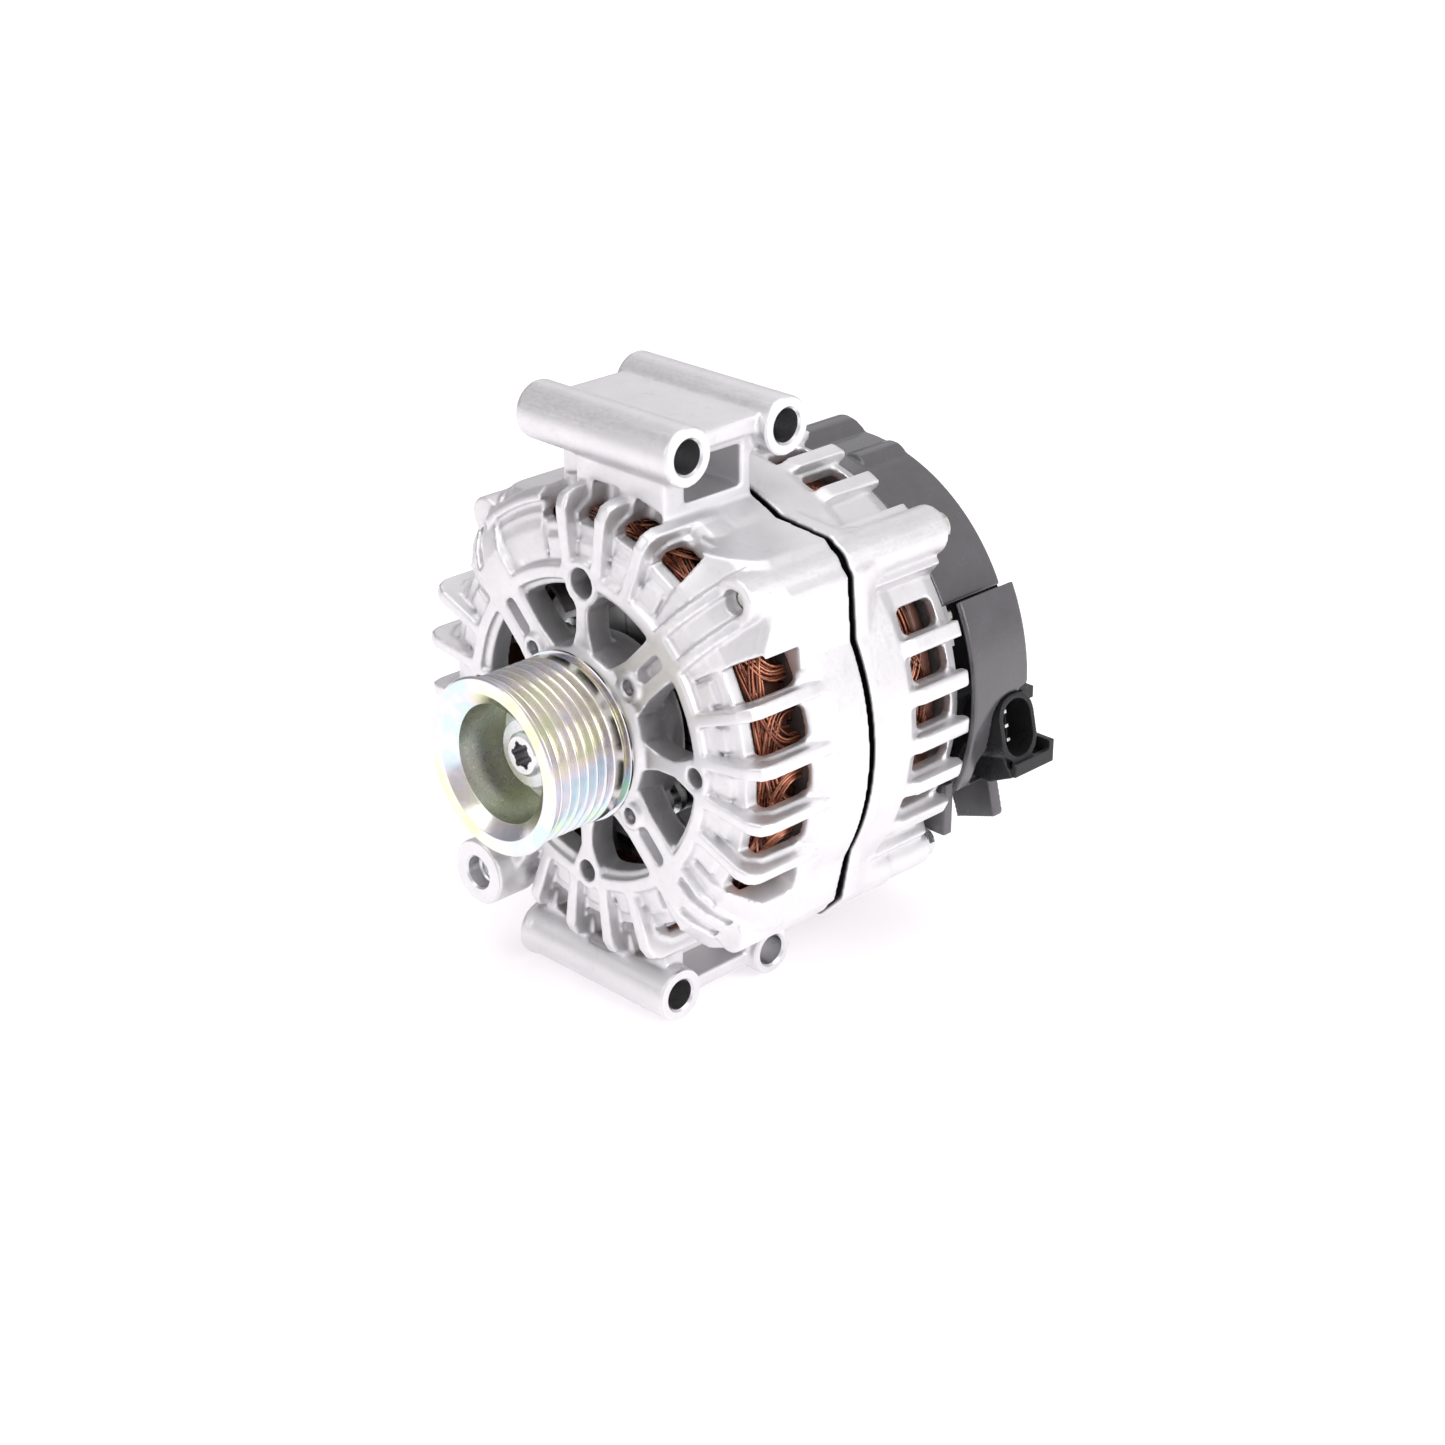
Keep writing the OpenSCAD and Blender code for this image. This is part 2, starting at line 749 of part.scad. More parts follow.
module connector_socket() {
    color("#26262a")
    difference() {
        union() {
            // barrel of the socket
            socket_prism(-15.5, 0, 22, 16.6, 7.4);
            // plate that closes the opening of the cover
            side_slab(60.1, 63.4)
            opening_outline(0.3);
            // wedge between the cover's edge and the socket
            prism(cover_y0 + 11.1, cover_y0 + 13.8)
            polygon([[62, -15.5], [75, -15.3], [81, -25.4], [72, -29.6], [62, -29.6]]);
            // latch ledge under the socket, with an upright wall behind it
            block([62, cover_y0 + 12, -25.4], [82, cover_y1 - 0.1, -22.8]);
            block([71, cover_y1 - 2.4, -24], [82, cover_y1 - 0.1, -17.5]);
            block([80.2, cover_y0 + 12, -25.4], [82, cover_y1 - 0.1, -20.6]);
            // small tab above the socket
            block([62, cover_y1 - 9, -4.4], [75, cover_y1 - 3, -0.3]);
        }
        socket_prism(-11, 5, 18.6, 13.2, 6.2);
        // slots the contacts are pressed into
        for (z = pin_z)
            pin_bar(z, -20, -9, fit);
    }
}

pin_z = [-4.6, 0, 4.6];

// One flat contact in the socket's frame, grown by s on every side
module pin_bar(z, x0, x1, s) {
    socket_frame()
    block([x0, -0.8 - s, z - 0.5 - s], [x1, 0.8 + s, z + 0.5 + s]);
}

module connector_pins() {
    color("silver")
    for (z = pin_z)
        pin_bar(z, -17, -5, 0);
}

// ---------- pulley and shaft ----------

// One belt groove as [radius, station] points, starting from its front crest
function groove(y) = [
    [crest_r, y + 0.3], [crest_r - groove_depth, y + 1.28],
    [crest_r - groove_depth, y + groove_pitch - 1.28], [crest_r, y + groove_pitch - 0.3]
];

module pulley() {
    color("#cfd8c8")
    turned()
    polygon(concat(
        [[pulley_recess_d / 2, rim_y + 3.4], [rim_r - 5, rim_y], [rim_r - 0.6, rim_y]],
        [[rim_r, rim_y + 0.6], [rim_r, rim_y + 0.9]],
        [for (i = [0:groove_count - 1]) each groove(-belt_half + i * groove_pitch)],
        [
            [crest_r, belt_half + 3.5], [crest_r - 2.3, belt_half + 3.8],
            [crest_r - 2.3, belt_half + 5.5], [crest_r + 0.6, belt_half + 5.8],
            [crest_r + 0.6, pulley_end_y - 0.4], [crest_r, pulley_end_y], [16, pulley_end_y],
            [15, pulley_end_y + 1.2], [shaft_r + fit, pulley_end_y + 1.2],
            [shaft_r + fit, nut_seat_y], [pulley_recess_d / 2 - 2, nut_seat_y],
            [pulley_recess_d / 2, nut_seat_y - 2]
        ]
    ));
}

module pulley_nut() {
    color("silver")
    difference() {
        intersection() {
            hex_rod(nut_y, nut_seat_y - fit, nut_flats, 0, 0);
            turned()
            polygon([
                [0, nut_y - 1], [nut_flats / 2 - 1, nut_y - 1], [nut_flats / 2 - 0.4, nut_y],
                [nut_flats / 2 + 3, nut_y + 2], [nut_flats / 2 + 3, nut_seat_y + 1],
                [0, nut_seat_y + 1]
            ]);
        }
        prism(-5, 15)
        circle(thread_r + fit);
    }
}

module rotor_shaft() {
    color("silver")
    difference() {
        turned()
        polygon([
            [0, shaft_tip_y], [thread_r - 1, shaft_tip_y], [thread_r, shaft_tip_y + 1],
            [thread_r, nut_seat_y + 0.2], [shaft_r, nut_seat_y + 1.7],
            [shaft_r, front_bearing_y + front_bearing_w + 0.2],
            [collar_r, front_bearing_y + front_bearing_w + 0.2],
            [collar_r, pole_y0 - 0.2], [pole_bore_r, pole_y0 - 0.2], [pole_bore_r, pole_y1 - 0.2],
            [collar_r - 1.5, pole_y1 - 0.2], [collar_r - 1.5, rear_bearing_y - 0.2],
            [tail_r, rear_bearing_y - 0.2], [tail_r, rear_bearing_y + rear_bearing_w + 0.2],
            [ring_seat_r, rear_bearing_y + rear_bearing_w + 0.2],
            [ring_seat_r, shaft_end_y - 1], [ring_seat_r - 1, shaft_end_y], [0, shaft_end_y]
        ]);
        // six-lobed drive recess in the front end
        prism(shaft_tip_y - 1, shaft_tip_y + 9) {
            circle(3.6);
            for (a = [0:60:300])
                rotate(a)
                translate([3.6, 0])
                circle(1, $fn = 24);
        }
    }
}

module spacer_collar() {
    color("slategray")
    turned()
    polygon([
        [shaft_r + fit, pulley_end_y + 1.3], [14, pulley_end_y + 1.3], [17.8, pulley_end_y + 2],
        [17.8, front_bearing_y - 1.2], [11.5, front_bearing_y - 0.1],
        [shaft_r + fit, front_bearing_y - 0.1]
    ]);
}

// ---------- rotor ----------

// One pole piece with its claws reaching back over the coil, drawn for the front pole
module pole_piece() {
    claw_l = pole_y1 - pole_y0 - 3;
    disc_t = 13;
    difference() {
        union() {
            ring(pole_y0 + 0.2, pole_y0 + disc_t - 0.2, 31.5, pole_bore_r + fit);
            ring(pole_y0, mid_y - 0.05, 27, pole_bore_r + fit);
            for (i = [0:claw_count - 1])
                intersection() {
                    turned()
                    polygon([
                        [20, pole_y0], [rotor_r - 2, pole_y0], [rotor_r, pole_y0 + 2],
                        [rotor_r, pole_y0 + claw_l], [rotor_r - 3, pole_y0 + claw_l],
                        [rotor_r - 6.5, pole_y0 + disc_t + 2], [rotor_r - 7.2, pole_y0 + disc_t],
                        [20, pole_y0 + disc_t]
                    ]);
                    rotate([0, -i * 360 / claw_count, 0])
                    translate([15, 0, 0])
                    rotate([0, 90, 0])
                    linear_extrude(45)
                    polygon([
                        [-15, pole_y0 - 1], [15, pole_y0 - 1], [15, pole_y0 + disc_t],
                        [6, pole_y0 + claw_l + 1], [-6, pole_y0 + claw_l + 1], [-15, pole_y0 + disc_t]
                    ]);
                }
        }
        prism(pole_y0 - 1, mid_y + 1)
        circle(pole_bore_r + fit);
    }
}

module front_pole() {
    color("#3d3d40")
    pole_piece();
}

// The rear pole is the front one turned end for end, half a claw pitch round
module rear_pole() {
    color("#3d3d40")
    rotate([0, -180 / claw_count, 0])
    translate([0, 2 * mid_y, 0])
    mirror([0, 1, 0])
    pole_piece();
}

module field_coil() {
    color("#7a3320")
    turned()
    polygon([
        [29.4, mid_y - 10.6], [43.4, mid_y - 10.6], [44.6, mid_y - 9.4],
        [44.6, mid_y + 9.4], [43.4, mid_y + 10.6], [29.4, mid_y + 10.6]
    ]);
}

module coil_bobbin() {
    color("#3a3a30")
    turned()
    polygon([
        [27.5 + fit, mid_y - 12.6], [44.6, mid_y - 12.6], [44.6, mid_y - 10.7], [29.3, mid_y - 10.7],
        [29.3, mid_y + 10.7], [44.6, mid_y + 10.7], [44.6, mid_y + 12.6], [27.5 + fit, mid_y + 12.6]
    ]);
}

// A stamped fan: a disc with bent blades, standing towards -Y
module fan(y_plate, blade_l, r_in, r_out, blades) {
    difference() {
        ring(y_plate - 1.4, y_plate, r_in + 9, 12);
        for (i = [0:blades - 1])
            rod(y_plate - 2, y_plate + 1, 2, r_in + 4, i * 360 / blades + 20);
    }
    for (i = [0:blades - 1])
        prism(y_plate - 1.4 - blade_l, y_plate - 1.3)
        rotate(i * 360 / blades + (i % 2) * 3)
        intersection() {
            translate([r_in + 2, 14])
            difference() {
                circle(19);
                circle(17.6);
            }
            difference() {
                circle(r_out);
                circle(r_in);
            }
            translate([0, -30])
            square([60, 40]);
        }
}

module front_fan() {
    color("#56565a")
    fan(pole_y0 - 0.1, 8.2, 36, 50, 11);
}

module rear_fan() {
    color("#56565a")
    translate([0, 2 * mid_y, 0])
    mirror([0, 1, 0])
    fan(pole_y0 - 0.1, 7.8, 35, 51, 9);
}

// ---------- slip rings ----------

hub_rim_r = 7.6;
hub_seat_r = 6.6;

module slip_ring_hub() {
    color("#2c2c2c")
    turned()
    polygon([
        [ring_seat_r + fit, ring_y[0] - 1.4], [hub_rim_r, ring_y[0] - 1.4],
        for (y = ring_y)
            each [
                [hub_rim_r, y - 0.05], [hub_seat_r, y - 0.05],
                [hub_seat_r, y + ring_w + 0.05], [hub_rim_r, y + ring_w + 0.05]
            ],
        [hub_rim_r, ring_y[1] + ring_w + 1.5], [ring_seat_r + fit, ring_y[1] + ring_w + 1.5]
    ]);
}

module slip_ring_front() {
    color("#c77c3c")
    ring(ring_y[0], ring_y[0] + ring_w, ring_r, hub_seat_r + fit);
}

module slip_ring_rear() {
    color("#c77c3c")
    ring(ring_y[1], ring_y[1] + ring_w, ring_r, hub_seat_r + fit);
}

// ---------- ball bearings ----------

// Both races, the cage and the balls share these driving sizes
module race(y0, w, ro, ri, pitch_r, ball_r) {
    difference() {
        ring(y0, y0 + w, ro, ri);
        turned()
        translate([pitch_r, y0 + w / 2])
        circle(ball_r + run, $fn = 48);
    }
}

module balls(y0, w, pitch_r, ball_r, n) {
    for (i = [0:n - 1])
        rotate([0, -i * 360 / n, 0])
        translate([pitch_r, y0 + w / 2, 0])
        sphere(ball_r);
}

module cage(y0, w, pitch_r, ball_r, n) {
    difference() {
        ring(y0 + w / 2 - ball_r - 0.7, y0 + w / 2 + ball_r + 0.7, pitch_r + 0.9, pitch_r - 0.9);
        // a round pocket for each ball
        for (i = [0:n - 1])
            rotate([0, -i * 360 / n, 0])
            translate([pitch_r - 3, y0 + w / 2, 0])
            rotate([0, 90, 0])
            cylinder(h = 6, r = ball_r + run);
    }
}

module seals(y0, w, ro, ri) {
    ring(y0 + 0.4, y0 + 1.2, ro, ri);
    ring(y0 + w - 1.2, y0 + w - 0.4, ro, ri);
}

module front_bearing_outer() {
    color("silver")
    race(front_bearing_y, front_bearing_w, front_race_r, 19.8, front_pitch_r, front_ball_r);
}

module front_bearing_inner() {
    color("silver")
    race(front_bearing_y, front_bearing_w, 12.2, shaft_r + fit, front_pitch_r, front_ball_r);
}

module front_bearing_balls() {
    color("silver")
    balls(front_bearing_y, front_bearing_w, front_pitch_r, front_ball_r, 7);
}

module front_bearing_cage() {
    color("goldenrod")
    cage(front_bearing_y, front_bearing_w, front_pitch_r, front_ball_r, 7);
}

module front_bearing_seals() {
    color("#303030")
    seals(front_bearing_y, front_bearing_w, 19.77, 12.3);
}

module rear_bearing_outer() {
    color("silver")
    race(rear_bearing_y, rear_bearing_w, rear_race_r, 14.7, rear_pitch_r, rear_ball_r);
}

module rear_bearing_inner() {
    color("silver")
    race(rear_bearing_y, rear_bearing_w, 10.3, tail_r + fit, rear_pitch_r, rear_ball_r);
}

module rear_bearing_balls() {
    color("silver")
    balls(rear_bearing_y, rear_bearing_w, rear_pitch_r, rear_ball_r, 8);
}

module rear_bearing_cage() {
    color("goldenrod")
    cage(rear_bearing_y, rear_bearing_w, rear_pitch_r, rear_ball_r, 8);
}

module rear_bearing_seals() {
    color("#303030")
    seals(rear_bearing_y, rear_bearing_w, 14.67, 10.4);
}

module rear_bearing_sleeve() {
    color("#d8c9a0")
    ring(rear_bearing_y, rear_bearing_y + rear_bearing_w, sleeve_r, rear_race_r + fit);
}

module bearing_retainer() {
    color("silver")
    difference() {
        prism(retainer_y, retainer_y + 2) {
            circle(hub_r - 1.5);
            for (a = bolt_angles)
                rotate(a)
                translate([retainer_pcr - 6, -5])
                square([6, 10]);
            for (a = bolt_angles)
                rotate(a)
                translate([retainer_pcr, 0])
                circle(5);
        }
        prism(retainer_y - 1, retainer_y + 4)
        circle(18);
        for (a = bolt_angles)
            rod(retainer_y - 1, retainer_y + 4, 2.6, retainer_pcr, a);
    }
}

module retainer_screws() {
    color("dimgray")
    for (a = bolt_angles) {
        rod(hub_y + 5, retainer_y + 2.1, 2.4, retainer_pcr, a);
        rod(retainer_y + 2.05, retainer_y + 4, 4.2, retainer_pcr, a);
    }
}

// ---------- stator ----------

slot_w = 4;
// Winding heads: outer radius and end stations
head_r = cavity_r - 1;
head_y0 = inside_y + 0.9;
head_y1 = back_in_y - 1;

module stator_core() {
    color("#4a4a4e")
    difference() {
        ring(stack_y0, stack_y1, stator_r, stator_bore_r);
        for (i = [0:slot_count - 1])
            prism(stack_y0 - 1, stack_y1 + 1)
            rotate(i * 360 / slot_count) {
                translate([stator_bore_r + 1.2, -slot_w / 2])
                square([slot_r - stator_bore_r - 1.2, slot_w]);
                translate([stator_bore_r - 1, -0.9])
                square([3, 1.8]);
            }
    }
}

// Conductors in the slots joined by the two winding heads
module stator_winding() {
    color("#a3552c")
    union() {
        turned()
        polygon([
            [stator_bore_r + 2, stack_y0 - 0.3], [stator_bore_r + 2, head_y0 + 1.8],
            [stator_bore_r + 4.5, head_y0], [stator_r - 6, head_y0], [head_r, head_y0 + 2.8],
            [head_r, 46], [slot_r, stack_y0 - 0.3]
        ]);
        turned()
        polygon([
            [stator_bore_r + 2, stack_y1 + 0.3], [slot_r, stack_y1 + 0.3], [head_r, 97],
            [head_r, head_y1 - 3.7], [stator_r - 6, head_y1], [stator_bore_r + 4.5, head_y1],
            [stator_bore_r + 2, head_y1 - 1.8]
        ]);
        for (i = [0:slot_count - 1])
            prism(stack_y0 - 0.5, stack_y1 + 0.5)
            rotate(i * 360 / slot_count)
            translate([stator_bore_r + 2.2, -slot_w / 2 + 0.3])
            square([slot_r - stator_bore_r - 2.6, slot_w - 0.6]);
    }
}

module through_bolts() {
    color("silver")
    for (a = bolt_angles) {
        rod(bolt_tip_y, back_y + 0.2, bolt_r, bolt_at(a), a);
        rod(back_y + 0.1, back_y + 1.2, 5.6, bolt_at(a), a);
        hex_rod(back_y + 1.1, back_y + 4.7, 9, bolt_at(a), a);
    }
}

// ---------- brushes ----------

brush_w = [6.4, 5];       // along X and along Y
brush_top = ring_r + run;
brush_low = 27;
spring_low = 43.5;
brush_y = [ring_y[0] + ring_w / 2, ring_y[1] + ring_w / 2];

module brush(y) {
    color("#2a2a2c")
    difference() {
        block([-brush_w[0] / 2, y - brush_w[1] / 2, -brush_low], [brush_w[0] / 2, y + brush_w[1] / 2, -5]);
        prism(y - 5, y + 5)
        circle(brush_top);
    }
}

module front_brush() {
    brush(brush_y[0]);
}

module rear_brush() {
    brush(brush_y[1]);
}

module brush_spring(y) {
    color("silver")
    translate([0, y, -spring_low])
    linear_extrude(height = spring_low - brush_low - 0.1, twist = -360 * 7, slices = 112, segments = 8)
    translate([1.7, 0])
    circle(0.4, $fn = 8);
}

module front_brush_spring() {
    brush_spring(brush_y[0]);
}

module rear_brush_spring() {
    brush_spring(brush_y[1]);
}

module brush_holder() {
    color("#1f1f22")
    difference() {
        union() {
            block([-7, ring_y[0] - 1.5, -45], [7, ring_y[1] + ring_w + 1.5, -11]);
            block([6, ring_y[0] - 1.5, -36], [16, ring_y[0] + 1.5, -18]);
        }
        for (y = brush_y)
            block(
                [-brush_w[0] / 2 - run, y - brush_w[1] / 2 - run, -spring_low - 0.1],
                [brush_w[0] / 2 + run, y + brush_w[1] / 2 + run, -5]
            );
        prism(ring_y[0] - 3, ring_y[1] + ring_w + 3)
        circle(12);
    }
}

// ---------- rectifier and regulator ----------

module voltage_regulator() {
    color("#202024")
    difference() {
        union() {
            block([16.2, ring_y[0] - 1.8, -50], [40, ring_y[1] + 8, -16]);
            block([39, ring_y[0] + 6, -21.4], [58.2, ring_y[0] + 17.5, -5]);
            // cooling ribs of its small heat sink
            for (z = [-46:5:-26])
                block([18, ring_y[1] + 7.9, z - 0.8], [38, ring_y[1] + 12, z + 0.8]);
        }
        for (x = [22, 34])
            translate([x, ring_y[0] - 6, -19.5])
            rotate([-90, 0, 0])
            cylinder(h = 40, r = 2 + run);
    }
}

module regulator_screws() {
    color("silver")
    for (x = [22, 34])
        translate([x, 0, -19.5])
        rotate([-90, 0, 0]) {
            translate([0, 0, ring_y[0] - 1])
            cylinder(h = ring_y[1] - ring_y[0] + 9.2, r = 2);
            translate([0, 0, ring_y[1] + 8.1])
            cylinder(h = 3, r = 3.6);
        }
}

// Crescent plate used by the heat sinks and the board
module crescent(y0, a0, a1, ro, ri) {
    sector(a0, a1)
    polygon([[ri, y0], [ro, y0], [ro, y0 + sink_t], [ri, y0 + sink_t]]);
}

// One hole of radius r through a plate at station y for each angle of a list
module plate_holes(y, r, pcr, angles) {
    for (a = angles)
        rod(y - 1, y + sink_t + 1, r, pcr, a);
}

module negative_heatsink() {
    color("silver")
    difference() {
        crescent(sink_y[0], sink_angles[0], sink_angles[1], sink_r, 26);
        plate_holes(sink_y[0], diode_r + fit, diode_pcr[0], diode_angles);
        plate_holes(sink_y[0], 2.2, spacer_pcr, spacer_angles);
        plate_holes(sink_y[0], 6, cover_screw_pcr, concat(cover_screw_angles, lead_angles));
    }
}

module positive_heatsink() {
    color("silver")
    difference() {
        crescent(sink_y[1], sink_angles[0], sink_angles[1], sink_r, 28);
        plate_holes(sink_y[1], diode_r + fit, diode_pcr[1], [for (a = diode_angles) a + diode_turn]);
        plate_holes(sink_y[1], 2.2, spacer_pcr, spacer_angles);
        plate_holes(sink_y[1], 6, cover_screw_pcr, concat(cover_screw_angles, lead_angles));
        plate_holes(sink_y[1], stud_base_r + fit, stud_pcr, [stud_angle]);
    }
}

module diode(y0, pcr, angle) {
    rod(y0, y0 + 3, diode_r, pcr, angle);
    rod(y0 + 2.9, y0 + 5.6, diode_r - 1.4, pcr, angle);
    rod(y0 + 5.5, y0 + 8, 0.8, pcr, angle);
}

module negative_diodes() {
    color("dimgray")
    for (a = diode_angles)
        diode(sink_y[0] + 0.05, diode_pcr[0], a);
}

module positive_diodes() {
    color("dimgray")
    for (a = diode_angles)
        diode(sink_y[1] + 0.1, diode_pcr[1], a + diode_turn);
}

module rectifier_board() {
    color("#2b2b2e")
    difference() {
        crescent(board_y, sink_angles[0] + 2, sink_angles[1] - 2, sink_r - 2, 27);
        plate_holes(board_y, 1.2, diode_pcr[0], diode_angles);
        plate_holes(board_y, spacer_r + 0.2, spacer_pcr, spacer_angles);
        plate_holes(board_y, 6, cover_screw_pcr, concat(cover_screw_angles, lead_angles));
    }
}

module heatsink_spacers() {
    color("#b9b39a")
    for (a = spacer_angles)
        difference() {
            rod(sink_y[0] + sink_t + 0.1, sink_y[1] - 0.1, spacer_r, spacer_pcr, a);
            rod(sink_y[0], sink_y[1] + 1, 2.2, spacer_pcr, a);
        }
}

module rectifier_screws() {
    color("silver")
    for (a = spacer_angles) {
        rod(sink_y[0] + 0.1, sink_y[1] + sink_t + 0.2, 2, spacer_pcr, a);
        rod(sink_y[1] + sink_t + 0.1, sink_y[1] + sink_t + 2.8, 3.8, spacer_pcr, a);
    }
}

module phase_leads() {
    color("#b5622f")
    for (a = lead_angles)
        rod(back_in_y - 0.6, board_y + 1.6, 1.1, lead_pcr, a);
}

module output_stud() {
    color("#c9b074")
    rod(sink_y[1] - 0.2, stud_neck_y, stud_base_r, stud_pcr, stud_angle);
    rod(stud_neck_y - 0.5, stud_end_y, stud_r, stud_pcr, stud_angle);
}

module output_nut() {
    color("silver")
    difference() {
        hex_rod(stud_neck_y - 5.9, stud_neck_y - 0.6, 14, stud_pcr, stud_angle);
        rod(stud_neck_y - 10, stud_neck_y + 5, stud_base_r + fit, stud_pcr, stud_angle);
    }
}

module cover_screws() {
    color("silver")
    for (a = cover_screw_angles) {
        rod(cover_y0 + 4, cover_y1 - 5.8, 1.55, cover_screw_pcr, a);
        rod(cover_y1 - 5.9, cover_y1 - 3.2, 4.4, cover_screw_pcr, a);
    }
}

front_housing();
rear_housing();
rear_cover();
connector_socket();
connector_pins();
pulley();
pulley_nut();
rotor_shaft();
spacer_collar();
front_pole();
rear_pole();
field_coil();
coil_bobbin();
front_fan();
rear_fan();
slip_ring_hub();
slip_ring_front();
slip_ring_rear();
front_bearing_outer();
front_bearing_inner();
front_bearing_balls();
front_bearing_cage();
front_bearing_seals();
rear_bearing_outer();
rear_bearing_inner();
rear_bearing_balls();
rear_bearing_cage();
rear_bearing_seals();
rear_bearing_sleeve();
bearing_retainer();
retainer_screws();
stator_core();
stator_winding();
through_bolts();
brush_holder();
front_brush();
rear_brush();
front_brush_spring();
rear_brush_spring();
voltage_regulator();
regulator_screws();
negative_heatsink();
positive_heatsink();
negative_diodes();
positive_diodes();
rectifier_board();
heatsink_spacers();
rectifier_screws();
phase_leads();
output_stud();
output_nut();
cover_screws();
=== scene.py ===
import json
import math
import random

import bmesh
import bpy
import numpy as np
from mathutils import Matrix, Vector


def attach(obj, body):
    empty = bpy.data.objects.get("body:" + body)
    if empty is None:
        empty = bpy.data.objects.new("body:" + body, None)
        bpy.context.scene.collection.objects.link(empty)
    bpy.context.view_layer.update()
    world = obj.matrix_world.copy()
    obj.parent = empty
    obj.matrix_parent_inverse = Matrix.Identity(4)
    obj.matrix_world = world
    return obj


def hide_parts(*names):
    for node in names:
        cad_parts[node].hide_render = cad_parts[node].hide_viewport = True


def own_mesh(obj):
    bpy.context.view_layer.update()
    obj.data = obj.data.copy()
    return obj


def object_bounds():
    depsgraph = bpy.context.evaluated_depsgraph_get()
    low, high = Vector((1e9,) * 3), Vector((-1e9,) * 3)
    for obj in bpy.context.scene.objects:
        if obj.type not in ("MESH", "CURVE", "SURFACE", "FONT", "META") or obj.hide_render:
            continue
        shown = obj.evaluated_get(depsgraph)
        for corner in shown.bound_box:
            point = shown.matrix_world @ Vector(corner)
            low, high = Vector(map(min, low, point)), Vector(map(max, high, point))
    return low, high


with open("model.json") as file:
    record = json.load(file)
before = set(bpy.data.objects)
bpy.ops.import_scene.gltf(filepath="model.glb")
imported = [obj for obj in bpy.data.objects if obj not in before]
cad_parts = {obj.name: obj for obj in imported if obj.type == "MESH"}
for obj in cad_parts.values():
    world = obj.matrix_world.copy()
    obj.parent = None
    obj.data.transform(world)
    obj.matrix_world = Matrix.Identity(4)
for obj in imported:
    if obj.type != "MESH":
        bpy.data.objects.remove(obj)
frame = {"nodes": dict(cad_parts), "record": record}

# Everything below is in millimetres in the CAD frame until it becomes a mesh:
# +Y runs along the rotor axis from pulley to rear cover, +Z is up. A "station" is a Y value.
CAD_BOX = [list(corner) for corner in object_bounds()]
MM = 0.001
TAU = 2 * math.pi
rng = random.Random(4207)
nodes = frame["nodes"]
scene = bpy.context.scene
record = frame["record"]
BODY = {n: b for b, members in record["behaviour"]["bodies"].items() for n in members}

# ---------------------------------------------------------------- places in the CAD frame, in mm

JOINT_Y = 72.7                # plane where the two castings meet
TUBE_Z, TUBE_Y = 92, (38.7, 79.7)
TUBE_X0, TUBE_X1 = -34, 31.5
LOW_Z, LOW_Y = -84, (33.7, 74.7)
LOW_X0, LOW_X1, LUG_X0 = -34, 32, 13
SIDE_BOSS = (-38.6, -58.5)
RECESS_R = 18.8               # front recess of the pulley
RETAINER_PCR = 30
COVER_SCREW_PCR, COVER_SCREW_ANGLES = 59, (75, 165, 262)
STUD_PCR, STUD_ANGLE = 42, 150
SLOTS = 48                    # slots of the stator
# through bolts as (angle, pitch radius); all but the upper right one are pulled in
BOLT_PCR, PULL_FROM, PULL = 78.2, 66, 0.8
DIAGONALS = (45, 135, 225, 315)
BOLTS = [(a, BOLT_PCR if a == DIAGONALS[0] else PULL_FROM + (BOLT_PCR - PULL_FROM) * PULL) for a in DIAGONALS]

# ---------------------------------------------------------------- mesh helpers


def link(obj):
    scene.collection.objects.link(obj)
    return obj


def new_object(name, verts, faces):
    mesh = bpy.data.meshes.new(name)
    mesh.from_pydata([tuple(v) for v in verts], [], [tuple(f) for f in faces])
    return link(bpy.data.objects.new(name, mesh))


def copy_of(node, name):
    obj = link(bpy.data.objects.new(name, nodes[node].data.copy()))
    obj.data.materials.clear()
    return obj


def apply_modifiers(obj):
    graph = bpy.context.evaluated_depsgraph_get()
    mesh = bpy.data.meshes.new_from_object(obj.evaluated_get(graph), depsgraph=graph)
    obj.modifiers.clear()
    old = obj.data
    obj.data = mesh
    bpy.data.meshes.remove(old)
    return obj


def weld(obj):
    bm = bmesh.new()
    bm.from_mesh(obj.data)
    bmesh.ops.remove_doubles(bm, verts=bm.verts, dist=1e-6)
    bm.to_mesh(obj.data)
    bm.free()


def rounded(obj, voxel, passes, faces):
    """Rebuilds obj on an even grid, melts its edges, then thins the mesh to a face count."""
    weld(obj)
    grid = obj.modifiers.new("grid", "REMESH")
    grid.mode = "VOXEL"
    grid.voxel_size = voxel * MM
    grid.adaptivity = 0
    melt = obj.modifiers.new("melt", "SMOOTH")
    melt.factor = 0.5
    melt.iterations = passes
    apply_modifiers(obj)
    count = len(obj.data.polygons) * 2
    if count > faces:
        thin = obj.modifiers.new("thin", "DECIMATE")
        thin.ratio = faces / count
        thin.use_collapse_triangulate = True
        apply_modifiers(obj)
    return obj


def grid_mesh(name, rings):
    """A skin over closed rings of points in mm, with flat end caps."""
    n = len(rings[0])
    verts = [Vector(p) * MM for ring in rings for p in ring]
    faces = []
    for i in range(len(rings) - 1):
        for k in range(n):
            m = (k + 1) % n
            faces.append((i * n + k, i * n + m, (i + 1) * n + m, (i + 1) * n + k))
    faces.append(tuple(reversed(range(n))))
    faces.append(tuple(range((len(rings) - 1) * n, len(rings) * n)))
    return new_object(name, verts, faces)


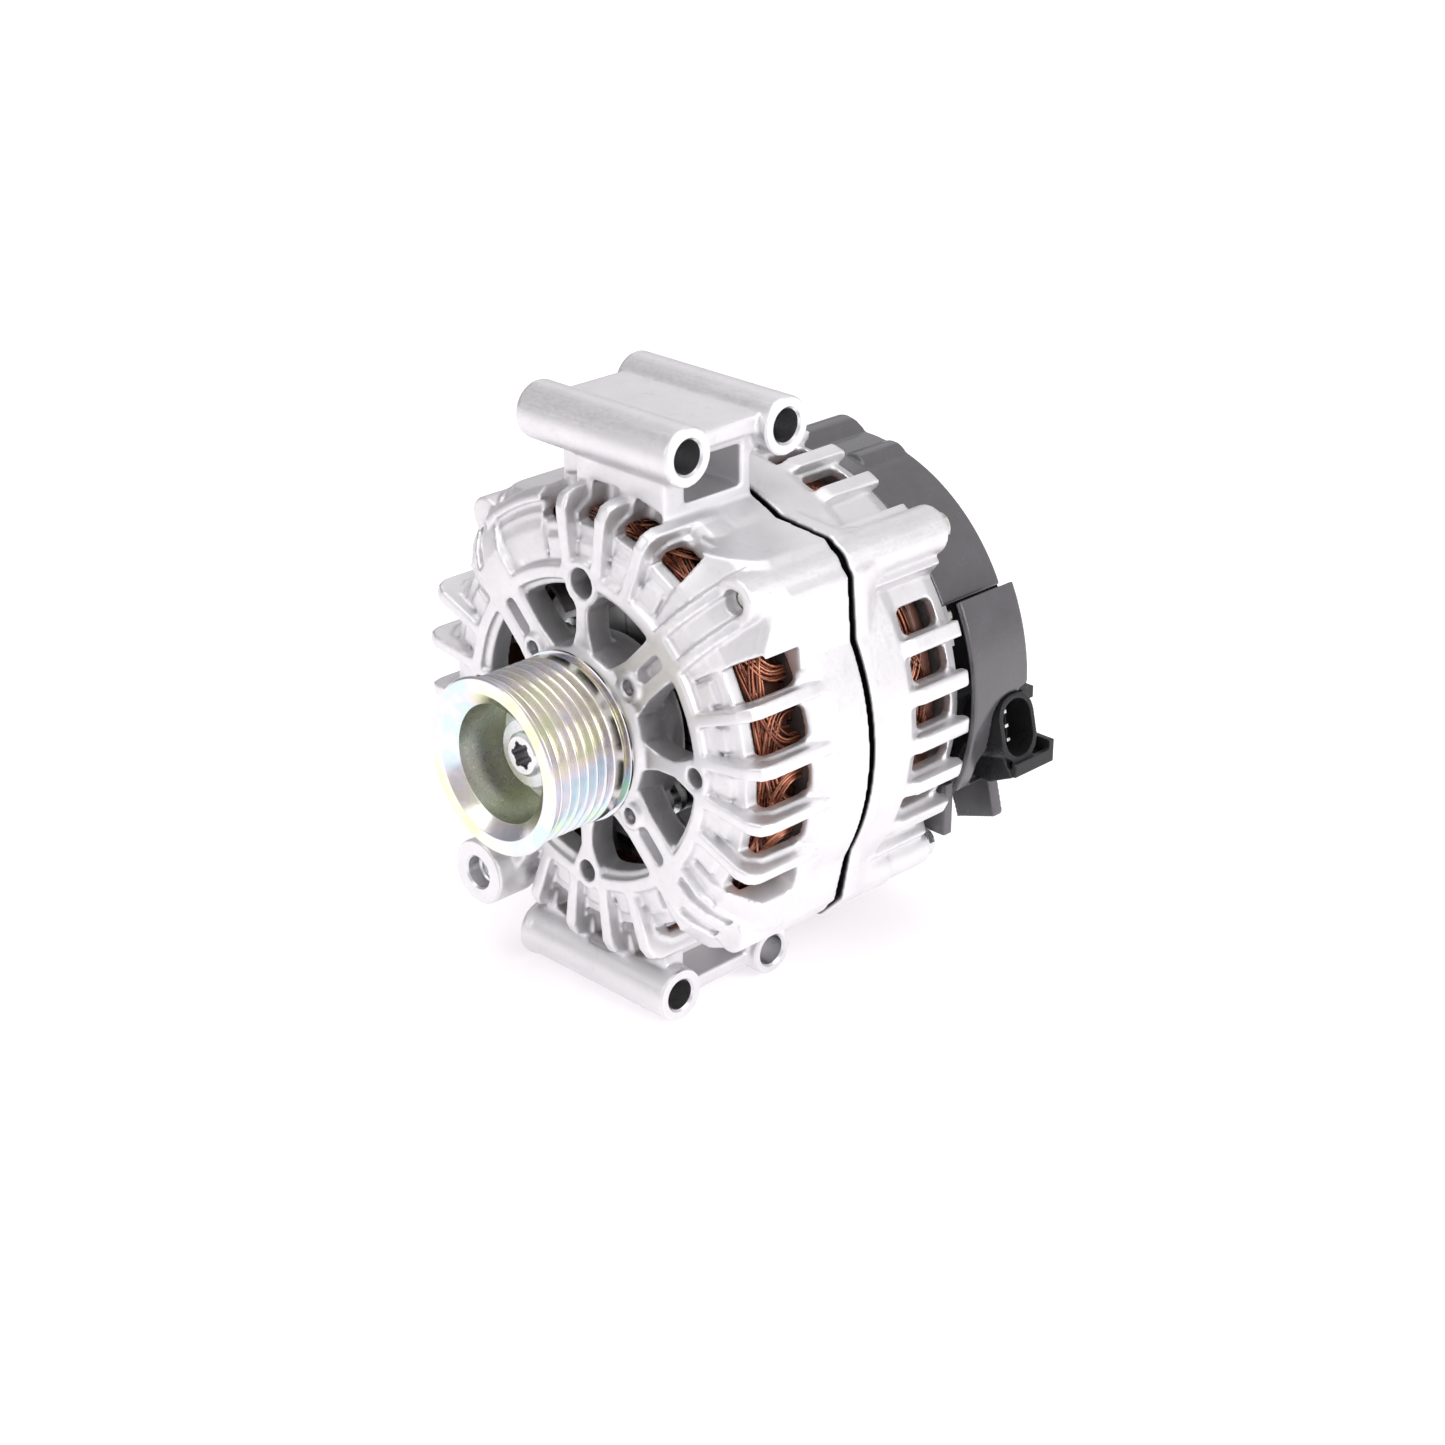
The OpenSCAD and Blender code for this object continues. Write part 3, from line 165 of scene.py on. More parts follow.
def lathe(name, profile, segments=192):
    """Turns a closed outline of [radius, station] points about the rotor axis."""
    n = len(profile)
    verts = []
    for i in range(segments):
        c, s = math.cos(TAU * i / segments), math.sin(TAU * i / segments)
        verts += [(r * c * MM, y * MM, r * s * MM) for r, y in profile]
    faces = []
    for i in range(segments):
        j = (i + 1) % segments
        for k in range(n):
            m = (k + 1) % n
            faces.append((i * n + k, i * n + m, j * n + m, j * n + k))
    return fix_normals(new_object(name, verts, faces))


def fix_normals(obj):
    bm = bmesh.new()
    bm.from_mesh(obj.data)
    bmesh.ops.recalc_face_normals(bm, faces=bm.faces)
    bm.to_mesh(obj.data)
    bm.free()
    return obj


def soften(outline, radius, steps=3):
    """Rounds every corner of a closed outline by up to radius."""
    out = []
    n = len(outline)
    for i in range(n):
        a, b, c = (Vector(outline[(i + k) % n]) for k in (-1, 0, 1))
        ab, cb = a - b, c - b
        reach = min(radius, ab.length * 0.45, cb.length * 0.45)
        p, q = b + ab.normalized() * reach, b + cb.normalized() * reach
        for s in range(steps + 1):
            t = s / steps
            out.append(tuple(p * (1 - t) ** 2 + b * 2 * t * (1 - t) + q * t * t))
    return out


def frame_along(p0, p1):
    """The direction from p0 to p1 and two more at right angles to it."""
    way = (Vector(p1) - Vector(p0)).normalized()
    side = way.orthogonal().normalized()
    return way, side, way.cross(side)


def spindle(name, p0, p1, profile, segments=64):
    """A solid turned about the line p0-p1 from [distance along it, radius] points, flat ended."""
    way, side, other = frame_along(p0, p1)
    rings = []
    for d, r in profile:
        centre = Vector(p0) + way * d
        rings.append([
            centre + side * (r * math.cos(TAU * k / segments)) + other * (r * math.sin(TAU * k / segments))
            for k in range(segments)
        ])
    return fix_normals(grid_mesh(name, rings))


def rod(p0, p1, r):
    return spindle("rod", p0, p1, [(0, r), ((Vector(p1) - Vector(p0)).length, r)], 96)


def drill(p0, p1, r, chamfer, over=2.0):
    """The tool for a through bore with both mouths chamfered."""
    length = (Vector(p1) - Vector(p0)).length
    return spindle("drill", p0, p1, [
        (-over, r + chamfer + over), (chamfer, r), (length - chamfer, r), (length + over, r + chamfer + over)
    ])


def polar(r, angle, y):
    return Vector((r * math.cos(math.radians(angle)), y, r * math.sin(math.radians(angle))))


def merged(name, objs):
    bm = bmesh.new()
    for o in objs:
        bm.from_mesh(o.data)
    mesh = bpy.data.meshes.new(name)
    bm.to_mesh(mesh)
    bm.free()
    for o in objs:
        bpy.data.objects.remove(o)
    return link(bpy.data.objects.new(name, mesh))


def combine(obj, tools, operation="DIFFERENCE"):
    for tool in tools:
        mod = obj.modifiers.new(operation.lower(), "BOOLEAN")
        mod.operation = operation
        mod.solver = "MANIFOLD"
        mod.object = tool
    apply_modifiers(obj)
    for tool in tools:
        bpy.data.objects.remove(tool)
    return obj


def thread(name, p0, p1, r, depth, pitch, segments=36, lead=0.6):
    """A rod with a helical thread on it, from p0 to p1, its ends tapered to the root."""
    way, side, other = frame_along(p0, p1)
    length = (Vector(p1) - Vector(p0)).length
    step = pitch / 8
    rings = []
    count = int(length / step)
    for i in range(count + 1):
        d = length * i / count
        ends = min(1.0, min(d, length - d) / lead)
        ring = []
        for k in range(segments):
            phase = (d / pitch - k / segments) % 1.0
            tooth = abs(2 * phase - 1)
            tooth = min(1.0, max(0.0, (tooth - 0.12) / 0.74))
            radius = r - depth * (1 - tooth * ends)
            a = TAU * k / segments
            ring.append(Vector(p0) + way * d + side * (radius * math.cos(a)) + other * (radius * math.sin(a)))
        rings.append(ring)
    return fix_normals(grid_mesh(name, rings))


def shade(obj, degrees=32):
    obj.data.polygons.foreach_set("use_smooth", [True] * len(obj.data.polygons))
    obj.data.set_sharp_from_angle(angle=math.radians(degrees))
    return obj


def settle(obj, material, node, sharp=32):
    """Finishes a piece that stands for a CAD node: its shading, material and body; the node itself is hidden.
    """
    shade(obj, sharp)
    if not len(obj.data.materials):
        obj.data.materials.append(material)
    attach(obj, BODY[node])
    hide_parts(node)
    return obj

# ---------------------------------------------------------------- materials


class Nodes:
    """Short names for building a node tree; every call returns the output socket it made."""

    def __init__(self, name):
        self.mat = bpy.data.materials.new(name)
        self.mat.use_nodes = True
        self.tree = self.mat.node_tree
        self.bsdf = self.tree.nodes["Principled BSDF"]
        self.position = self.add("ShaderNodeTexCoord").outputs["Object"]

    def add(self, kind, **settings):
        node = self.tree.nodes.new(kind)
        for key, value in settings.items():
            setattr(node, key, value)
        return node

    def put(self, socket, value):
        if isinstance(value, bpy.types.NodeSocket):
            self.tree.links.new(value, socket)
        elif isinstance(value, (tuple, list)) and len(value) == 3 and socket.type == "RGBA":
            socket.default_value = (*value, 1)
        else:
            socket.default_value = value

    def set(self, **inputs):
        for key, value in inputs.items():
            self.put(self.bsdf.inputs[key.replace("_", " ")], value)

    def noise(self, size_mm, detail=3, rough=0.55, distortion=0.0):
        node = self.add("ShaderNodeTexNoise")
        self.put(node.inputs["Vector"], self.position)
        node.inputs["Scale"].default_value = 1 / (size_mm * MM)
        node.inputs["Detail"].default_value = detail
        node.inputs["Roughness"].default_value = rough
        node.inputs["Distortion"].default_value = distortion
        return node.outputs["Fac"]

    def cells(self, size_mm, feature="F1"):
        node = self.add("ShaderNodeTexVoronoi", feature=feature)
        self.put(node.inputs["Vector"], self.position)
        node.inputs["Scale"].default_value = 1 / (size_mm * MM)
        return node.outputs["Distance"]

    def span(self, value, low, high, to_low=0.0, to_high=1.0):
        node = self.add("ShaderNodeMapRange", clamp=True)
        limits = {"Value": value, "From Min": low, "From Max": high, "To Min": to_low, "To Max": to_high}
        for key, v in limits.items():
            self.put(node.inputs[key], v)
        return node.outputs["Result"]

    def math(self, operation, a, b=0.0, c=0.0):
        node = self.add("ShaderNodeMath", operation=operation)
        for socket, v in zip(node.inputs, (a, b, c)):
            self.put(socket, v)
        return node.outputs["Value"]

    def length(self, a, b):
        return self.math("SQRT", self.math("ADD", self.math("MULTIPLY", a, a), self.math("MULTIPLY", b, b)))

    def mix(self, factor, a, b):
        node = self.add("ShaderNodeMix", data_type="RGBA", blend_type="MIX")
        self.put(node.inputs["Factor"], factor)
        self.put(node.inputs[6], a)
        self.put(node.inputs[7], b)
        return node.outputs[2]

    def ramp(self, value, stops):
        node = self.add("ShaderNodeValToRGB")
        node.color_ramp.interpolation = "LINEAR"
        while len(node.color_ramp.elements) < len(stops):
            node.color_ramp.elements.new(0.5)
        for element, (place, colour) in zip(node.color_ramp.elements, stops):
            element.position = place
            element.color = (*colour, 1)
        self.put(node.inputs["Fac"], value)
        return node.outputs["Color"]

    def split(self):
        """The position as X, Y and Z."""
        node = self.add("ShaderNodeSeparateXYZ")
        self.put(node.inputs[0], self.position)
        return node.outputs

    def bands(self, size_mm, distortion):
        """Rings round the rotor axis, each about size_mm / 6 wide."""
        node = self.add("ShaderNodeTexWave", wave_type="BANDS", bands_direction="Y")
        self.put(node.inputs["Vector"], self.position)
        node.inputs["Scale"].default_value = 1 / (size_mm * MM)
        node.inputs["Distortion"].default_value = distortion
        return node.outputs["Fac"]

    def edges(self, low, high):
        """1 along convex edges and 0 elsewhere."""
        return self.span(self.add("ShaderNodeNewGeometry").outputs["Pointiness"], low, high)

    def bump(self, height, distance_mm, strength=1.0, normal=None):
        node = self.add("ShaderNodeBump")
        node.inputs["Strength"].default_value = strength
        node.inputs["Distance"].default_value = distance_mm * MM
        self.put(node.inputs["Height"], height)
        if normal is not None:
            self.put(node.inputs["Normal"], normal)
        return node.outputs["Normal"]


def cast_aluminium():
    n = Nodes("cast_aluminium")
    grain = n.noise(0.35, 2, 0.6)
    patch = n.noise(14, 4, 0.6)
    stain = n.span(n.noise(5, 5, 0.65, distortion=0.6), 0.56, 0.72)
    base = n.mix(patch, (0.70, 0.70, 0.715), (0.83, 0.825, 0.83))
    base = n.mix(n.math("MULTIPLY", stain, 0.22), base, (0.50, 0.49, 0.50))
    # painted shade: hollows and creases between the fins are darkened
    crease_shade = n.math("SUBTRACT", 1.0, n.edges(0.40, 0.49))
    base = n.mix(n.math("MULTIPLY", crease_shade, 0.55), base, (0.36, 0.35, 0.37))
    base = n.mix(n.math("MULTIPLY", n.edges(0.52, 0.62), 0.6), base, (0.93, 0.93, 0.94))
    # painted shade fills the joint between the two castings
    x, y, z = n.split()
    joint_gap_shade = n.span(n.math("ABSOLUTE", n.math("SUBTRACT", y, JOINT_Y * MM)), 1.6 * MM, 1.25 * MM)
    joint_gap_shade = n.math("MULTIPLY", joint_gap_shade, n.span(n.math("ABSOLUTE", z), 78 * MM, 75 * MM))
    base = n.mix(joint_gap_shade, base, (0.012, 0.012, 0.013))
    pits = n.span(n.cells(1.6), 0.0, 0.12)
    height = n.math("ADD", n.math("MULTIPLY", grain, 0.7), n.math("MULTIPLY", pits, 0.3))
    normal = n.bump(height, 0.035)
    normal = n.bump(n.noise(2.4, 3, 0.5), 0.10, 0.6, normal)
    gloss = n.span(n.noise(1.1, 4), 0.3, 0.7, 0.36, 0.52)
    n.set(Base_Color=base, Metallic=0.88, Roughness=gloss, Normal=normal)
    return n.mat


def machined_aluminium():
    n = Nodes("machined_aluminium")
    marks = n.noise(0.12, 2, 0.5)
    base = n.mix(n.noise(6, 3), (0.66, 0.66, 0.67), (0.80, 0.80, 0.81))
    n.set(Base_Color=base, Metallic=1.0, Roughness=n.span(marks, 0.3, 0.7, 0.22, 0.36),
          Normal=n.bump(marks, 0.008))
    return n.mat


def zinc_plate(name, base_low, base_high, tint, roughness, recess=False):
    """Passivated zinc: silver with pale rainbow tints that drift over it and with the viewing angle."""
    n = Nodes(name)
    x, y, z = n.split()
    angle = n.math("ARCTAN2", z, x)
    facing = n.add("ShaderNodeLayerWeight")
    facing.inputs["Blend"].default_value = 0.35
    drift = n.math("ADD", n.noise(11, 3, 0.6), n.math("MULTIPLY", facing.outputs["Facing"], 0.75))
    drift = n.math("ADD", drift, n.math("MULTIPLY", n.math("SINE", n.math("MULTIPLY", angle, 2.0)), 0.22))
    film = n.ramp(n.math("FRACT", n.math("MULTIPLY", drift, 1.15)), [
        (0.0, (0.80, 0.80, 0.64)), (0.2, (0.82, 0.82, 0.46)), (0.38, (0.60, 0.78, 0.58)),
        (0.55, (0.58, 0.72, 0.84)), (0.72, (0.80, 0.74, 0.86)),
        (0.86, (0.84, 0.76, 0.70)), (1.0, (0.80, 0.80, 0.66)),
    ])
    metal = n.mix(n.noise(3, 3), base_low, base_high)
    base = n.mix(tint, metal, film)
    gloss = n.span(n.noise(1.5, 3), 0.3, 0.7, roughness, roughness + 0.10)
    if recess:
        # the deep recess keeps a duller green film
        depth = n.span(n.length(x, z), (RECESS_R + 0.15) * MM, (RECESS_R - 0.2) * MM)
        base = n.mix(depth, base, n.mix(n.noise(6, 4), (0.58, 0.62, 0.53), (0.72, 0.75, 0.66)))
        gloss = n.math("ADD", gloss, n.math("MULTIPLY", depth, 0.2))
    turning = n.bands(0.9, 0.3)
    fine = n.noise(0.2, 2)
    height = n.math("ADD", n.math("MULTIPLY", turning, 0.5), fine)
    n.set(Base_Color=base, Metallic=1.0, Roughness=gloss, Normal=n.bump(height, 0.010))
    return n.mat


def steel(name, low, high, roughness, rust=0.0):
    n = Nodes(name)
    grain = n.noise(0.25, 3)
    base = n.mix(n.noise(4, 4), low, high)
    base = n.mix(n.math("MULTIPLY", n.edges(0.52, 0.6), 0.4), base, (0.9, 0.9, 0.9))
    if rust:
        base = n.mix(n.math("MULTIPLY", n.span(n.noise(3, 5), 0.55, 0.7), rust), base, (0.20, 0.12, 0.07))
    n.set(Base_Color=base, Metallic=1.0, Roughness=n.span(grain, 0.3, 0.7, roughness, roughness + 0.14),
          Normal=n.bump(grain, 0.012))
    return n.mat


def moulded_plastic(name, low, high, roughness, grain_mm=0.5, scuff=0.3, specular=0.5):
    n = Nodes(name)
    leather = n.cells(grain_mm, "SMOOTH_F1")
    cloud = n.noise(9, 4, 0.6)
    base = n.mix(cloud, low, high)
    scratch = n.span(n.noise(1.2, 6, 0.7, distortion=1.5), 0.62, 0.74)
    base = n.mix(n.math("MULTIPLY", scratch, scuff * 0.4), base, (0.22, 0.22, 0.23))
    base = n.mix(n.math("MULTIPLY", n.edges(0.53, 0.64), 0.5), base, (0.16, 0.16, 0.165))
    rough = n.span(cloud, 0.3, 0.7, roughness - 0.05, roughness + 0.08)
    rough = n.math("ADD", rough, n.math("MULTIPLY", scratch, 0.12))
    n.set(Base_Color=base, Roughness=rough, Specular_IOR_Level=specular,
          Normal=n.bump(leather, 0.03, 0.55, n.bump(n.noise(6, 2), 0.15, 0.4)))
    return n.mat


def enamelled_copper():
    n = Nodes("enamelled_copper")
    shade_by = n.add("ShaderNodeAttribute", attribute_name="strand")
    strand = shade_by.outputs["Fac"]
    base = n.ramp(strand, [(0.0, (0.09, 0.024, 0.014)), (0.5, (0.34, 0.10, 0.05)), (1.0, (0.60, 0.24, 0.13))])
    varnish = n.span(n.noise(6, 4, 0.6), 0.5, 0.68)
    base = n.mix(n.math("MULTIPLY", varnish, 0.75), base, (0.035, 0.014, 0.010))
    n.set(Base_Color=base, Metallic=0.75, Roughness=n.span(n.noise(1, 3), 0.3, 0.7, 0.22, 0.42),
          Coat_Weight=0.6, Coat_Roughness=0.12, Normal=n.bump(n.noise(0.5, 2), 0.02))
    return n.mat


def lamination():
    """Stacked sheet steel: fine lines across the rotor axis with rusty varnish."""
    n = Nodes("lamination")
    lines = n.bands(3.2, 0.15)
    base = n.mix(n.noise(5, 4), (0.055, 0.052, 0.052), (0.13, 0.12, 0.115))
    base = n.mix(n.math("MULTIPLY", lines, 0.4), base, (0.22, 0.21, 0.205))
    n.set(Base_Color=base, Metallic=0.6, Roughness=0.48, Normal=n.bump(lines, 0.05))
    return n.mat


def simple(name, low, high, metallic, roughness, size=3.0, depth=0.02, grain=0.4):
    """A plain finish that still varies in colour, gloss and relief."""
    n = Nodes(name)
    base = n.mix(n.noise(size, 4), low, high)
    worn = tuple(min(1.0, c * 1.6 + 0.05) for c in high)
    base = n.mix(n.math("MULTIPLY", n.edges(0.52, 0.62), 0.35), base, worn)
    gloss = n.span(n.noise(size * 0.4, 3), 0.3, 0.7, roughness, roughness + 0.12)
    n.set(Base_Color=base, Metallic=metallic, Roughness=gloss, Normal=n.bump(n.noise(grain, 3), depth))
    return n.mat


CAST = cast_aluminium()
MACHINED = machined_aluminium()
ZINC = zinc_plate("pulley_zinc", (0.70, 0.74, 0.66), (0.84, 0.87, 0.77), 0.72, 0.16, True)
NUT_ZINC = zinc_plate("fastener_zinc", (0.62, 0.63, 0.62), (0.78, 0.79, 0.77), 0.22, 0.20)
BRIGHT_STEEL = steel("bright_steel", (0.60, 0.60, 0.61), (0.76, 0.76, 0.77), 0.16)
DULL_STEEL = steel("dull_steel", (0.34, 0.34, 0.35), (0.48, 0.48, 0.49), 0.32, 0.25)
POLE_STEEL = steel("pole_steel", (0.10, 0.10, 0.105), (0.19, 0.19, 0.195), 0.40, 0.30)
FAN_STEEL = steel("fan_steel", (0.22, 0.22, 0.225), (0.34, 0.34, 0.345), 0.34, 0.10)
COVER = moulded_plastic(
    "cover_plastic", (0.060, 0.059, 0.063), (0.090, 0.088, 0.094), 0.21, 0.8, specular=0.8
)
SOCKET = moulded_plastic(
    "socket_plastic", (0.010, 0.010, 0.011), (0.022, 0.022, 0.023), 0.28, 0.35, specular=0.25
)
COPPER = enamelled_copper()
LAMINATION = lamination()
VARNISH = simple("dark_varnish", (0.045, 0.018, 0.012), (0.15, 0.055, 0.035), 0.25, 0.34, 4.0, 0.12, 1.2)
RING_COPPER = simple("ring_copper", (0.58, 0.28, 0.15), (0.74, 0.40, 0.24), 1.0, 0.18, 2.5, 0.01, 0.3)
BOBBIN = simple("bobbin_plastic", (0.16, 0.15, 0.11), (0.24, 0.22, 0.17), 0.0, 0.48)
CAGE = simple("bearing_cage", (0.42, 0.30, 0.12), (0.56, 0.42, 0.20), 0.0, 0.42)
SEAL = simple("seal_rubber", (0.018, 0.018, 0.018), (0.035, 0.035, 0.035), 0.0, 0.62)
PALE = simple("pale_plastic", (0.52, 0.47, 0.35), (0.66, 0.60, 0.46), 0.0, 0.45)
CARBON = simple("brush_carbon", (0.05, 0.048, 0.045), (0.10, 0.09, 0.085), 0.35, 0.5, 1.5, 0.03, 0.25)
SPRING = simple("spring_wire", (0.42, 0.42, 0.43), (0.6, 0.6, 0.61), 1.0, 0.24)
SINK = simple("heatsink_plate", (0.58, 0.58, 0.59), (0.72, 0.72, 0.73), 1.0, 0.30, 5.0, 0.02, 0.5)
TINNED = simple("tinned_blade", (0.62, 0.62, 0.60), (0.78, 0.77, 0.73), 1.0, 0.24, 2.0, 0.01, 0.3)
STUD = simple("stud_plate", (0.50, 0.42, 0.22), (0.70, 0.60, 0.34), 1.0, 0.26, 2.5, 0.01, 0.3)

# ---------------------------------------------------------------- turned parts


def turned_pulley():
    crest, root, pitch, grooves = 26.7, 24.1, 3.56, 7
    half = grooves * pitch / 2
    outline = [(RECESS_R, -9.9), (23.2, -13.28), (27.6, -13.28), (28.18, -12.7), (28.18, -12.4)]
    for i in range(grooves):
        y = -half + i * pitch
        outline += [(crest, y + 0.3), (root, y + 1.28), (root, y + pitch - 1.28), (crest, y + pitch - 0.3)]
    outline += [
        (crest, half + 3.5), (crest - 2.3, half + 3.8), (crest - 2.3, half + 5.5), (crest + 0.6, half + 5.8),
        (crest + 0.6, 19.3), (crest, 19.68), (16, 19.68), (15, 20.88), (8.54, 20.88), (8.54, 10.72),
        (RECESS_R - 2, 10.72), (RECESS_R, 8.7),
    ]
    pulley = lathe("pulley_turned", soften(outline, 0.22), 256)
    return settle(pulley, ZINC, "pulley", 40)


def hex_radius(flats, angle):
    """Radius of a hexagon with a corner at angle 0."""
    return flats / 2 / math.cos((angle % (TAU / 6)) - TAU / 12)


def hex_body(name, centre, angle0, flats, y0, y1, chamfer, segments=96):
    """A hexagonal head along Y whose corners are turned off at the ends named in chamfer."""
    rings = []
    depth = 0.9
    heights = [(y0, chamfer[0] * depth), (y0 + 0.15, chamfer[0] * (depth - 0.3)), (y0 + depth, 0)]
    heights += [(y1 - depth, 0), (y1 - 0.15, chamfer[1] * (depth - 0.3)), (y1, chamfer[1] * depth)]
    for y, cut in heights:
        ring = []
        for k in range(segments):
            a = TAU * k / segments
            limit = flats / 2 * 1.16 - cut * 1.3
            r = min(hex_radius(flats, a), limit) - 0.06
            ring.append((centre[0] + r * math.cos(a + angle0), y, centre[1] + r * math.sin(a + angle0)))
        rings.append(ring)
    return fix_normals(grid_mesh(name, rings))


def through_bolt_set():
    parts = []
    for angle, pcr in BOLTS:
        p = polar(pcr, angle, 0)
        tip, seat = Vector((p.x, 37.02, p.z)), Vector((p.x, 118.8, p.z))
        parts.append(spindle("shank", tip, seat, [
            (0, 2.1), (0.5, 2.6), (0.7, 2.95), (24, 2.95), (25, 2.98), (81.78, 2.98)
        ], 40))
        parts.append(spindle("flange", seat + Vector((0, 0.02, 0)), seat + Vector((0, 2, 0)), [
            (0, 5.2), (0.12, 5.5), (0.5, 5.58), (0.8, 5.5), (1.1, 4.9), (1.5, 4.6)
        ], 64))
        parts.append(hex_body("head", (p.x, p.z), math.radians(angle), 9, 119.8, 123.38, (0, 1)))
    return settle(merged("through_bolt_set", parts), NUT_ZINC, "through_bolts")


def retainer_screw_set():
    parts = []
    for angle in DIAGONALS:
        p = polar(RETAINER_PCR, angle, 0)
        parts.append(thread("screw", (p.x, 26.02, p.z), (p.x, 42.16, p.z), 2.39, 0.42, 0.8, 32))
        parts.append(spindle("head", (p.x, 42.16, p.z), (p.x, 44.1, p.z), [
            (0, 4.0), (0.2, 4.18), (1.2, 4.18), (1.7, 3.8), (1.92, 3.0)
        ], 48))
    return settle(merged("retainer_screw_set", parts), DULL_STEEL, "retainer_screws")


def stud_piece():
    p = polar(STUD_PCR, STUD_ANGLE, 0)
    parts = [
        spindle("neck", (p.x, 130.82, p.z), (p.x, 150.9, p.z), [
            (0, 4.3), (0.3, 4.58), (19.6, 4.58), (20.06, 4.1)
        ], 64),
        thread("stud", (p.x, 150.5, p.z), (p.x, 162.98, p.z), 3.99, 0.62, 1.25, 40, 1.0),
    ]
    return settle(merged("output_stud_turned", parts), STUD, "output_stud")


def stud_nut():
    p = polar(STUD_PCR, STUD_ANGLE, 0)
    body = hex_body("output_nut_chamfered", (p.x, p.z), math.radians(STUD_ANGLE), 14, 145.02, 150.28, (1, 1))
    hole = spindle("hole", (p.x, 144, p.z), (p.x, 152, p.z), [
        (0, 6.2), (1.6, 4.65), (5.7, 4.65), (8, 6.8)
    ], 64)
    return settle(combine(body, [hole]), NUT_ZINC, "output_nut")


def cover_screw_set():
    parts = []
    for angle in COVER_SCREW_ANGLES:
        p = polar(COVER_SCREW_PCR, angle, 0)
        screw = spindle("screw", (p.x, 124.72, p.z), (p.x, 148.48, p.z), [
            (0, 1.1), (0.4, 1.5), (21.0, 1.53), (21.1, 4.2),
            (21.3, 4.38), (22.9, 4.38), (23.5, 3.9), (23.76, 3.2)
        ], 48)
        socket = spindle("socket", (p.x, 147.0, p.z), (p.x, 149.5, p.z), [
            (0, 1.7), (1.2, 1.9), (2.5, 2.3)
        ], 6)
        parts.append(combine(screw, [socket]))
    return settle(merged("cover_screw_set", parts), NUT_ZINC, "cover_screws")


# ---------------------------------------------------------------- winding heads


def tubes(name, paths, radius, sides=6):
    """One closed tube of wire along every path; each keeps its own tone in the attribute "strand"."""
    verts, faces, tone = [], [], []
    turn = np.arange(sides) * TAU / sides
    for path, shade_value in paths:
        path = np.asarray(path)
        way = np.gradient(path, axis=0)
        way /= np.linalg.norm(way, axis=1, keepdims=True)
        out = path * np.array([1.0, 0.0, 1.0])
        side = np.cross(way, out)
        side /= np.linalg.norm(side, axis=1, keepdims=True)
        up = np.cross(side, way)
        ring = (path[:, None, :] + radius * (np.cos(turn)[None, :, None] * side[:, None, :]
                                             + np.sin(turn)[None, :, None] * up[:, None, :]))
        base, count = len(verts), len(path)
        verts += (ring.reshape(-1, 3) * MM).tolist()
        for i in range(count - 1):
            for k in range(sides):
                m = (k + 1) % sides
                a = base + i * sides
                faces.append((a + k, a + m, a + sides + m, a + sides + k))
        faces.append(tuple(base + k for k in reversed(range(sides))))
        faces.append(tuple(base + (count - 1) * sides + k for k in range(sides)))
        tone += [shade_value] * (count * sides)
    obj = fix_normals(new_object(name, verts, faces))
    layer = obj.data.attributes.new("strand", "FLOAT", "POINT")
    layer.data.foreach_set("value", tone)
    return obj


def winding_paths(stack_y, crest_y, bundles, wires, span, steps=24):
    """Wires leave one slot, arch over towards the head's crest and enter a slot further round."""
    paths = []
    reach = crest_y - stack_y
    t = np.linspace(0, 1, steps)
    for b in range(bundles):
        heading = 1 if b % 2 else -1
        start = TAU * b / bundles + rng.uniform(-0.01, 0.01)
        deep = rng.uniform(0, 1.2)
        for w in range(wires):
            row, column = divmod(w, 4)
            arch = np.sin(np.pi * t) ** 0.62
            lift = 1 - 0.085 * column - 0.10 * row - rng.uniform(0, 0.05)
            y = stack_y + reach * arch * lift
            leave, arrive = 66.3 - 0.95 * row - 0.5 * deep, 61.2 + 0.9 * row
            bend = 0.5 - 0.5 * np.cos(np.pi * t)
            r = leave + (arrive - leave) * bend + rng.uniform(-0.1, 0.1)
            phase = rng.uniform(0, TAU)
            r = np.minimum(r + 0.18 * np.sin(TAU * 1.5 * t + phase), 66.5)
            fan_out = math.radians(0.95) * (column - 1.5) * np.cos(np.pi * t)
            a = start + heading * (math.radians(span) * bend + fan_out)
            a = a + 0.006 * np.sin(TAU * 2 * t + phase)
            paths.append((np.stack([r * np.cos(a), y, r * np.sin(a)], axis=1), rng.random()))
    return paths


